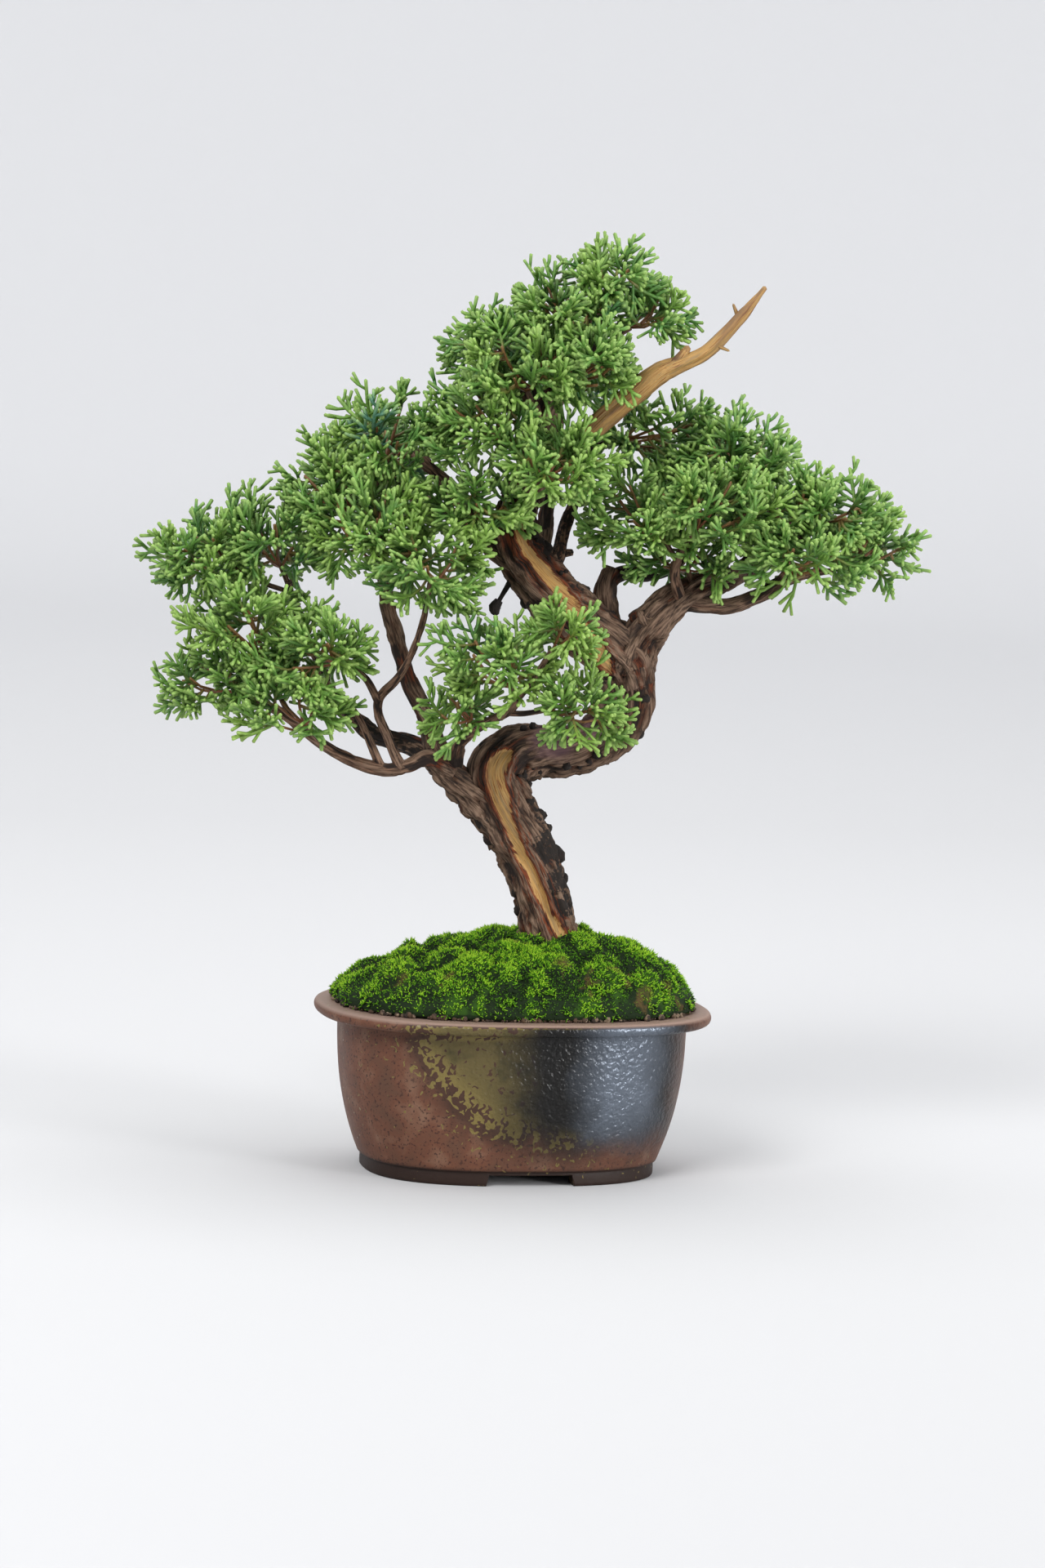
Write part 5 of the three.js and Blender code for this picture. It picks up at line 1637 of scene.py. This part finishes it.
        # Painted shade under the lip: less glaze there, so a band of darker stained clay shows
        under_lip_shade = ease(47.6, 49.6, z) * ease(51.2, 50.6, z)
        front = ease(-8, -20, y) * ease(54.4, 53.4, z)
        thinning = 20 + 0.5 * np.clip(47.5 - z, 0, 40)
        ash = (ease(-0.45, 0.72, (x + stray - slant) / thinning) * ease(30, 10, x) * front
               * ease(-9, 15, z + stray - foot_line) * (1 - 0.4 * under_lip_shade))
        soft = 0.6 * stray
        dark = ease(-19, 3, x + stray) * ease(62, 44, x + soft) * ease(2, 22, z + soft) * front
        # Where the lustrous glaze lies, with its painted sheen
        lustre_and_painted_sheen = ease(8, 26, x + stray) * ease(50, 34, x + stray) * ease(8, 30, z + stray) * front
        # The foot's share also sets where the foot's painted shade goes
        write_values(pot.data, {"ash": ash, "dark": dark, "lustre_and_painted_sheen": lustre_and_painted_sheen, "lip": ease(53.4, 54.5, z),
                                "foot": ease(6.2, 4.6, z)})

    def cutters(self) -> list[bpy.types.Object]:
        """A bar for the foot's notches at the front and back, and rods for the drain holes."""
        made = [self.bar(*self.notch, 2 * self.body[1])]
        sides = 48
        for x in (-self.drain_offset, self.drain_offset):
            ring = polar(self.drain_radius, circle(sides)) + [x, 0]
            ends = (-2.0, self.floor_top + 3)
            rod = np.concatenate([np.column_stack([ring, np.full(sides, z)]) for z in ends]
                                 + [[[x, 0, z]] for z in ends])
            surface = Surface()
            surface.add(self.frame.planter(rod), *tube_faces(2, sides))
            made.append(surface.make("drain_cutter", bpy.data.materials.new("cutter"), smooth=False))
        return made

    def bar(self, bottom: float, top: float, height: float, length: float) -> bpy.types.Object:
        """A bar with a trapezium section that runs under the pot from its front to its back.

        Args:
            bottom: Width at the surface that the pot stands on.
            top: Width at its top.
            height: Height of the notch.
            length: Length of the bar.

        Returns:
            The cutter.
        """
        section = np.array([[-bottom / 2, -1], [bottom / 2, -1], [top / 2, height], [-top / 2, height]])
        points = np.concatenate([np.column_stack([section[:, 0], np.full(4, y), section[:, 1]])
                                 for y in (-length / 2, length / 2)])
        faces = np.array([[0, 1, 2, 3], [7, 6, 5, 4], [0, 4, 5, 1], [1, 5, 6, 2], [2, 6, 7, 3],
                          [3, 7, 4, 0]])
        surface = Surface()
        surface.add(self.frame.planter(points), faces)
        return surface.make("notch_cutter", bpy.data.materials.new("cutter"), smooth=False)

    @staticmethod
    def cut(target: bpy.types.Object, cutter: bpy.types.Object) -> None:
        """Cuts one object out of another and removes it.

        Args:
            target: The object that is cut.
            cutter: The object that cuts.
        """
        modifier = target.modifiers.new("cut", "BOOLEAN")
        modifier.operation = "DIFFERENCE"
        modifier.solver = "EXACT"
        modifier.object = cutter
        graph = bpy.context.evaluated_depsgraph_get()
        mesh = bpy.data.meshes.new_from_object(target.evaluated_get(graph), depsgraph=graph)
        target.modifiers.clear()
        old = target.data
        material = old.materials[0]
        target.data = mesh
        mesh.materials.clear()
        mesh.materials.append(material)
        mesh.name = old.name
        bpy.data.meshes.remove(old)
        bpy.data.objects.remove(cutter)


@dataclass
class MossMound:
    """The moss mound: a lumpy dome of cushions, covered in fine shoots, in millimetres from the pot's
    middle."""

    # Places on the front: [x, y, radius, the value that it changes]
    SPOTS = (
        (28, -29, 4.5, "dry"), (35, -34, 3.5, "dry"), (9, -29.5, 3.5, "dry"), (16, -35, 4.0, "dry"),
        (-44, -22, 4.0, "dry"), (46, -26, 3.5, "dry"), (-30, -30, 3.0, "dry"), (-3.5, -14, 3.5, "dry"),
        # Pits are real hollows whose moss is also painted darker as shade
        (-16, -31.5, 2.2, "shaded_pit"), (-12, -38, 1.8, "shaded_pit"), (-24, -38.5, 2.0, "shaded_pit"),
        (-17.5, -39.5, 1.6, "shaded_pit"), (22, -20, 3.0, "shaded_pit"), (2, -33, 1.5, "shaded_pit"), (40, -22, 2.0, "shaded_pit"),
        (-36, -33, 1.6, "shaded_pit"))

    frame: Frame
    pot: OvalPot
    half: tuple[float, float] = (59.5, 41.9)
    base: float = 55.35
    edge: float = 2.0
    shoulder_height: float = 5.0
    shoulder_power: float = 10.0
    dome: float = 14.5
    lean: float = 0.4
    cushions: int = 46
    cushion_radius: float = 9.5
    cushion_height: float = 4.0
    lump_height: float = 1.1
    lump_size: float = 4.4
    pit_depth: float = 1.8
    fade: float = 5.0
    rows: int = 72
    columns: int = 220
    shoots: int = 18500
    leaves: int = 2
    leaf_radius: float = 0.36
    leaf_length: tuple[float, float] = (1.0, 2.1)

    def cushion_lift(self, points: Array) -> Array:
        """Height of the cushions: each a low round dome, where the highest one counts.

        Args:
            points: Places, x and y in the last axis.

        Returns:
            One height for each place.
        """
        k = np.arange(self.cushions)
        share = np.sqrt((k + 0.5) / self.cushions)
        angle = k * GOLDEN_ANGLE
        reach = self.pot.oval(np.array(self.half), angle) * share
        middle = polar(reach, angle)
        radius = self.cushion_radius * (0.75 + 0.5 * draw(k, 1, 7))
        lift = np.zeros(points.shape[:-1])
        for (x, y), r in zip(middle, radius):
            near = 1 - ((points[..., 0] - x) ** 2 + (points[..., 1] - y) ** 2) / r ** 2
            lift = np.maximum(lift, near)
        return lift * self.cushion_height

    def spots(self, points: Array, kind: str) -> Array:
        """Share of each place that lies in a spot of one kind, with an uneven edge."""
        share = np.zeros(points.shape[:-1])
        stray = 0.8 * noise(level(points) / 1.6, 71)
        for x, y, radius, name in self.SPOTS:
            if name == kind:
                away = np.hypot(points[..., 0] - x, points[..., 1] - y) / radius
                share = np.maximum(share, ease(1.2, 0.5, away + stray))
        return share

    def height(self, points: Array) -> tuple[Array, Array]:
        """Height of the mound and how high a place lies on its own cushion.

        The mound is a steep shoulder, the root of one less the tenth power of the share from the middle to
        the edge, and a dome of one less its square, which is higher towards +X.

        Args:
            points: Places, x and y in the last axis.

        Returns:
            The heights, and shares from 0 in the gaps to 1 on the cushions' tops, which paint the moss
            darker in the gaps and lighter on the tops.
        """
        angle = np.arctan2(points[..., 1], points[..., 0])
        reach = self.pot.oval(np.array(self.half), angle)
        share = np.clip(np.linalg.norm(points[..., :2], axis=-1) / reach, 0, 1)
        fade = np.clip((1 - share) * self.fade, 0, 1)
        shoulder = self.shoulder_height * np.sqrt(1 - share ** self.shoulder_power)
        dome = self.dome * (1 - share ** 2) * (1 + self.lean * points[..., 0] / self.half[0])
        lumps = layered_noise(level(points) / self.lump_size, 3, 51)
        lift = self.cushion_lift(points)
        shaded_pit = self.spots(points, "shaded_pit")
        detail = lift + self.lump_height * (lumps - 1) - self.pit_depth * shaded_pit
        up = self.base + self.edge + shoulder + dome + detail * fade
        # Painted light and shade: lighter on the cushions' tops, darker in the gaps and the pits
        high = 0.12 + 0.55 * lift / self.cushion_height + 0.75 * lumps - 0.8 * shaded_pit
        return up, np.clip(high, 0, 1)

    def build(self, material: bpy.types.Material) -> bpy.types.Object:
        """Builds the mound's surface and the shoots on it.

        Args:
            material: The finish.

        Returns:
            The piece.
        """
        surface = Surface(CushionMoss.VALUES)
        share = np.sin(np.linspace(0.012, 1, self.rows) * math.pi / 2)[::-1]
        angle = circle(self.columns)
        flat = share[:, None, None] * polar(self.pot.oval(np.array(self.half), angle), angle)
        up, high = self.height(flat)
        under = [(0.95, self.base - 0.2), (0.992, self.base + 0.1), (1.006, self.base + 0.9)]
        skirt = np.stack([np.concatenate([flat[0] * s, np.full((self.columns, 1), z)], axis=-1)
                          for s, z in under])
        top = np.concatenate([flat, up[..., None]], axis=-1)
        points = np.concatenate([skirt, top])
        # Painted shade: the ground under the shoots takes the near-black of the gaps
        rise = np.concatenate([np.zeros((3, self.columns)), high * 0.12])
        dry = np.concatenate([np.zeros((3, self.columns)), self.spots(flat, "dry")])
        poles = np.array([[0, 0, self.base - 0.2], [0, 0, float(up[-1].mean())]])
        total = np.concatenate([points.reshape(-1, 3), poles])
        surface.add(self.frame.planter(total), *tube_faces(len(points), self.columns),
                    rise=np.concatenate([rise.reshape(-1), [0.0, 0.2]]),
                    dry=np.concatenate([dry.reshape(-1), [0.0, 0.0]]))
        self.add_shoots(surface)
        made = surface.make("cushion_moss_mound", material)
        log.info("moss: %d triangles", triangles(made))
        return made

    def add_shoots(self, surface: Surface) -> None:
        """Adds the moss shoots: each a few three-sided pointed leaves that lean apart from one root.

        Args:
            surface: The moss's surface.
        """
        k = np.arange(self.shoots)
        share = np.sqrt((k + 0.5) / self.shoots)
        angle = k * GOLDEN_ANGLE + 0.6 * draw(k, 3, 5)
        reach = self.pot.oval(np.array(self.half), angle) * np.minimum(1, share + 0.006 * draw(k, 4, 6))
        flat = polar(reach, angle)
        up, high = self.height(flat)
        dry = self.spots(flat, "dry")
        rim = ease(0.9, 1.0, share)
        root = np.concatenate([flat, (up - 0.3 - 1.4 * rim * draw(k, 8, 8))[:, None]], axis=-1)
        # On the steep shoulder the lumps vary with height too
        bulge = ease(0.78, 0.95, share) * layered_noise(root / 3.6, 2, 57)
        root[:, :2] += unit(flat) * (0.9 * np.maximum(bulge, 0))[:, None]
        high = np.clip(high + 0.8 * bulge, 0, 1)
        step = 0.4
        slope_x = (self.height(flat + [step, 0])[0] - up) / step
        slope_y = (self.height(flat + [0, step])[0] - up) / step
        normal = unit(np.stack([-slope_x, -slope_y, np.ones_like(up)], axis=-1))
        least, most = self.leaf_length
        # Painted light: the moss's tips are lighter towards the left end
        left_painted_light = 0.2 * ease(-5, -45, flat[:, 0])
        for leaf in range(self.leaves):
            lean = np.stack([2 * draw(k, leaf, number) - 1 for number in (31, 32, 33)], axis=-1)
            way = unit(normal + 0.8 * lean)
            length = (least + (most - least) * draw(k, leaf, 34)) * (0.6 + 0.4 * high) * (1 - 0.4 * dry)
            side = unit(np.cross(way, np.array([0.3, 0.9, 0.2])))
            other = np.cross(way, side)
            ring = root[:, None] + self.leaf_radius * spokes(side, other, circle(3))
            tip = root + way * length[:, None]
            points = np.concatenate([ring, tip[:, None]], axis=1)
            fresh = np.clip(0.02 + 0.84 * high + 0.9 * (draw(k, leaf, 35) - 0.33) + left_painted_light, 0, 1)
            # Painted shade and light: each leaf is dark at its base and lighter at its tip, more so on high
            # places
            values = np.column_stack([np.repeat((high * 0.1)[:, None], 3, axis=1), fresh])
            base = np.arange(self.shoots)[:, None] * 4 + np.array([[2, 1, 0]])
            surface.add(self.frame.planter(points), pole_faces(0, 3, 3, True, 4, self.shoots), base,
                        rise=values, dry=np.repeat(dry[:, None], 4, axis=1))


@dataclass
class Grit:
    """Loose soil grains along the moss's edge: small uneven balls, in millimetres from the pot's middle."""

    frame: Frame
    pot: OvalPot
    grains: int = 420
    half: tuple[float, float] = (58.9, 41.3)
    height: float = 55.25
    least: float = 0.35
    most: float = 1.25

    def build(self, material: bpy.types.Material) -> bpy.types.Object:
        """Builds all the grains in one mesh.

        Args:
            material: The finish.

        Returns:
            The piece.
        """
        k = np.arange(self.grains)
        angle = 2 * math.pi * draw(k, 1, 91)
        size = self.least + (self.most - self.least) * draw(k, 2, 92) ** 3
        reach = self.pot.oval(np.array(self.half), angle) + 1.5 * (draw(k, 3, 93) - 0.35)
        middle = polar(reach, angle, self.height + size * 0.5)
        rows, columns = 3, 6
        grain = ball(rows, columns)[None]
        uneven = 1 + 0.3 * noise(grain * 1.4 + 3.7 * k[:, None, None], 12)
        points = middle[:, None] + grain * (uneven * size[:, None])[..., None]
        surface = Surface()
        surface.add(self.frame.planter(points), *tube_faces(rows, columns, self.grains))
        made = surface.make("loose_grit", material)
        log.info("grit: %d grains", self.grains)
        return made


@dataclass
class Studio:
    """A pale floor that curves up all round, soft lights, and the camera at the photograph's angle."""

    # The floor's shades from the lit place outwards: [share of the reach, colour]
    SHADES = ((0.0, "aeaeaf"), (0.225, "c4c4c5"), (0.475, "cacacb"), (0.725, "dcdcdd"), (1.0, "eaeaeb"))
    # Lamps: [name, place and aim in millimetres, side in millimetres, watts]
    LAMPS = (("key", (-1300, -1500, 1700), (0, 0, 170), 1000, 44),
             ("fill", (1300, -1400, 420), (0, 0, 60), 560, 26),
             ("top", (200, 300, 2100), (0, 0, 200), 1500, 22))

    frame: Frame
    floor_radius: float = 2600.0
    bowl_height: float = 3400.0
    bowl_curve: float = 1400.0
    # The place on the floor that the lamps light most, and how far its shades reach, in metres
    lit_place: tuple[float, float, float] = (0.2, -0.9, 0.0)
    lit_reach: float = 4.0
    sky: str = "eef0f3"
    sky_strength: float = 0.92
    # The camera in the tree's frame, in millimetres and degrees, with the lens for a 36 mm long side
    camera_place: tuple[float, float, float] = (0.0, -1577.6, 291.8)
    camera_pitch: float = 5.947
    camera_roll: float = 2.5
    camera_lens: float = 111.1

    def build(self) -> None:
        """Builds the floor, the lights, the world and the camera."""
        self.add_floor()
        self.add_lights()
        self.add_world()
        self.add_camera()

    def add_floor(self) -> None:
        """Adds the floor: a disc whose rim rises in a quarter circle and then straight up."""
        curve = self.bowl_curve
        flat = np.linspace(0.02, 1, 8) * self.floor_radius
        bend = np.linspace(0, math.pi / 2, 14)[1:]
        rim = self.floor_radius + curve
        radius = np.concatenate([flat, self.floor_radius + curve * np.sin(bend), [rim]])
        height = np.concatenate([0 * flat, curve * (1 - np.cos(bend)), [self.bowl_height]])
        columns = 96
        rows = len(radius)
        points = polar(radius[:, None], circle(columns), np.broadcast_to(height[:, None], (rows, columns)))
        total = np.concatenate([points.reshape(-1, 3), [[0, 0, 0]]])
        surface = Surface()
        surface.add(total * MM, sheet_faces(rows, columns)[:, ::-1],
                    pole_faces(0, rows * columns, columns, False)[:, ::-1])
        finish = Finish("pale_floor")
        # Darker in front of the pot, where the lamps are close, so that the floor looks even
        away = add_node(finish.tree, "ShaderNodeVectorMath", {0: finish.place(), 1: self.lit_place},
                        operation="DISTANCE").outputs["Value"]
        shade = finish.ramp(finish.span(away, 0, self.lit_reach), *self.SHADES)
        surface.make("pale_floor", finish.done(
            base_color=shade, roughness=0.9, specular_ior_level=0.1))

    def add_lights(self) -> None:
        """Adds three large soft lights: a key at the upper left, a fill at the right and one above."""
        for name, place, aim, size, power in self.LAMPS:
            lamp = bpy.data.lights.new(name, "AREA")
            lamp.shape = "SQUARE"
            lamp.size = size * MM
            lamp.energy = power
            made = bpy.data.objects.new(name, lamp)
            bpy.context.scene.collection.objects.link(made)
            place_m = np.array(place) * MM
            made.location = place_m
            made.rotation_mode = "QUATERNION"
            made.rotation_quaternion = Vector(np.array(aim) * MM - place_m).to_track_quat("-Z", "Y")

    def add_world(self) -> None:
        """Adds an even pale sky."""
        world = bpy.data.worlds.new("pale_sky")
        world.use_nodes = True
        background = world.node_tree.nodes["Background"]
        background.inputs["Color"].default_value = linear(self.sky)
        background.inputs["Strength"].default_value = self.sky_strength
        bpy.context.scene.world = world

    def add_camera(self) -> None:
        """Adds the camera where the photograph was taken from."""
        data = bpy.data.cameras.new("camera")
        data.sensor_width = 36
        data.sensor_fit = "AUTO"
        data.lens = self.camera_lens
        data.clip_start = 0.05
        data.clip_end = 20
        made = bpy.data.objects.new("camera", data)
        bpy.context.scene.collection.objects.link(made)
        place = self.frame.tree(np.array(self.camera_place))
        tilt = Euler((math.radians(90 - self.camera_pitch), 0, 0)).to_matrix().to_4x4()
        turn = (Matrix.Rotation(TREE_TURN, 4, "Z") @ tilt
                @ Matrix.Rotation(math.radians(self.camera_roll), 4, "Z"))
        turn.translation = place
        made.matrix_world = turn
        bpy.context.scene.camera = made


def main() -> None:
    """Builds the bonsai's pieces in order and reports each one."""
    logging.basicConfig(level=logging.INFO, format="%(name)s: %(message)s")
    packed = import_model()
    coarse = 1.0
    frame = Frame()
    soil = BonsaiSoil().material()
    for name, node in packed["nodes"].items():
        if name == "soil" or name.startswith("drain_screen"):
            node.data.materials.clear()
            node.data.materials.append(soil if name == "soil" else MeshPlastic().material())

    wood = Wood(frame, coarse=coarse)
    foliage = Foliage(frame, wood)
    bark = wood.build(foliage.twigs(), JuniperBark().material())
    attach(bark, "root")
    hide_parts("juniper_wood")
    foliage.build(JuniperFoliage().material())

    pot = OvalPot(frame)
    stoneware = pot.build(AshGlazedStoneware().material())
    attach(stoneware, "root")
    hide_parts("pot")
    mound = MossMound(frame, pot).build(CushionMoss().material())
    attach(mound, "root")
    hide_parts("moss")
    grit = Grit(frame, pot).build(soil)
    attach(grit, "root")

    Studio(frame).build()
    bpy.context.scene.view_settings.view_transform = "Standard"


if __name__ == "__main__":
    main()
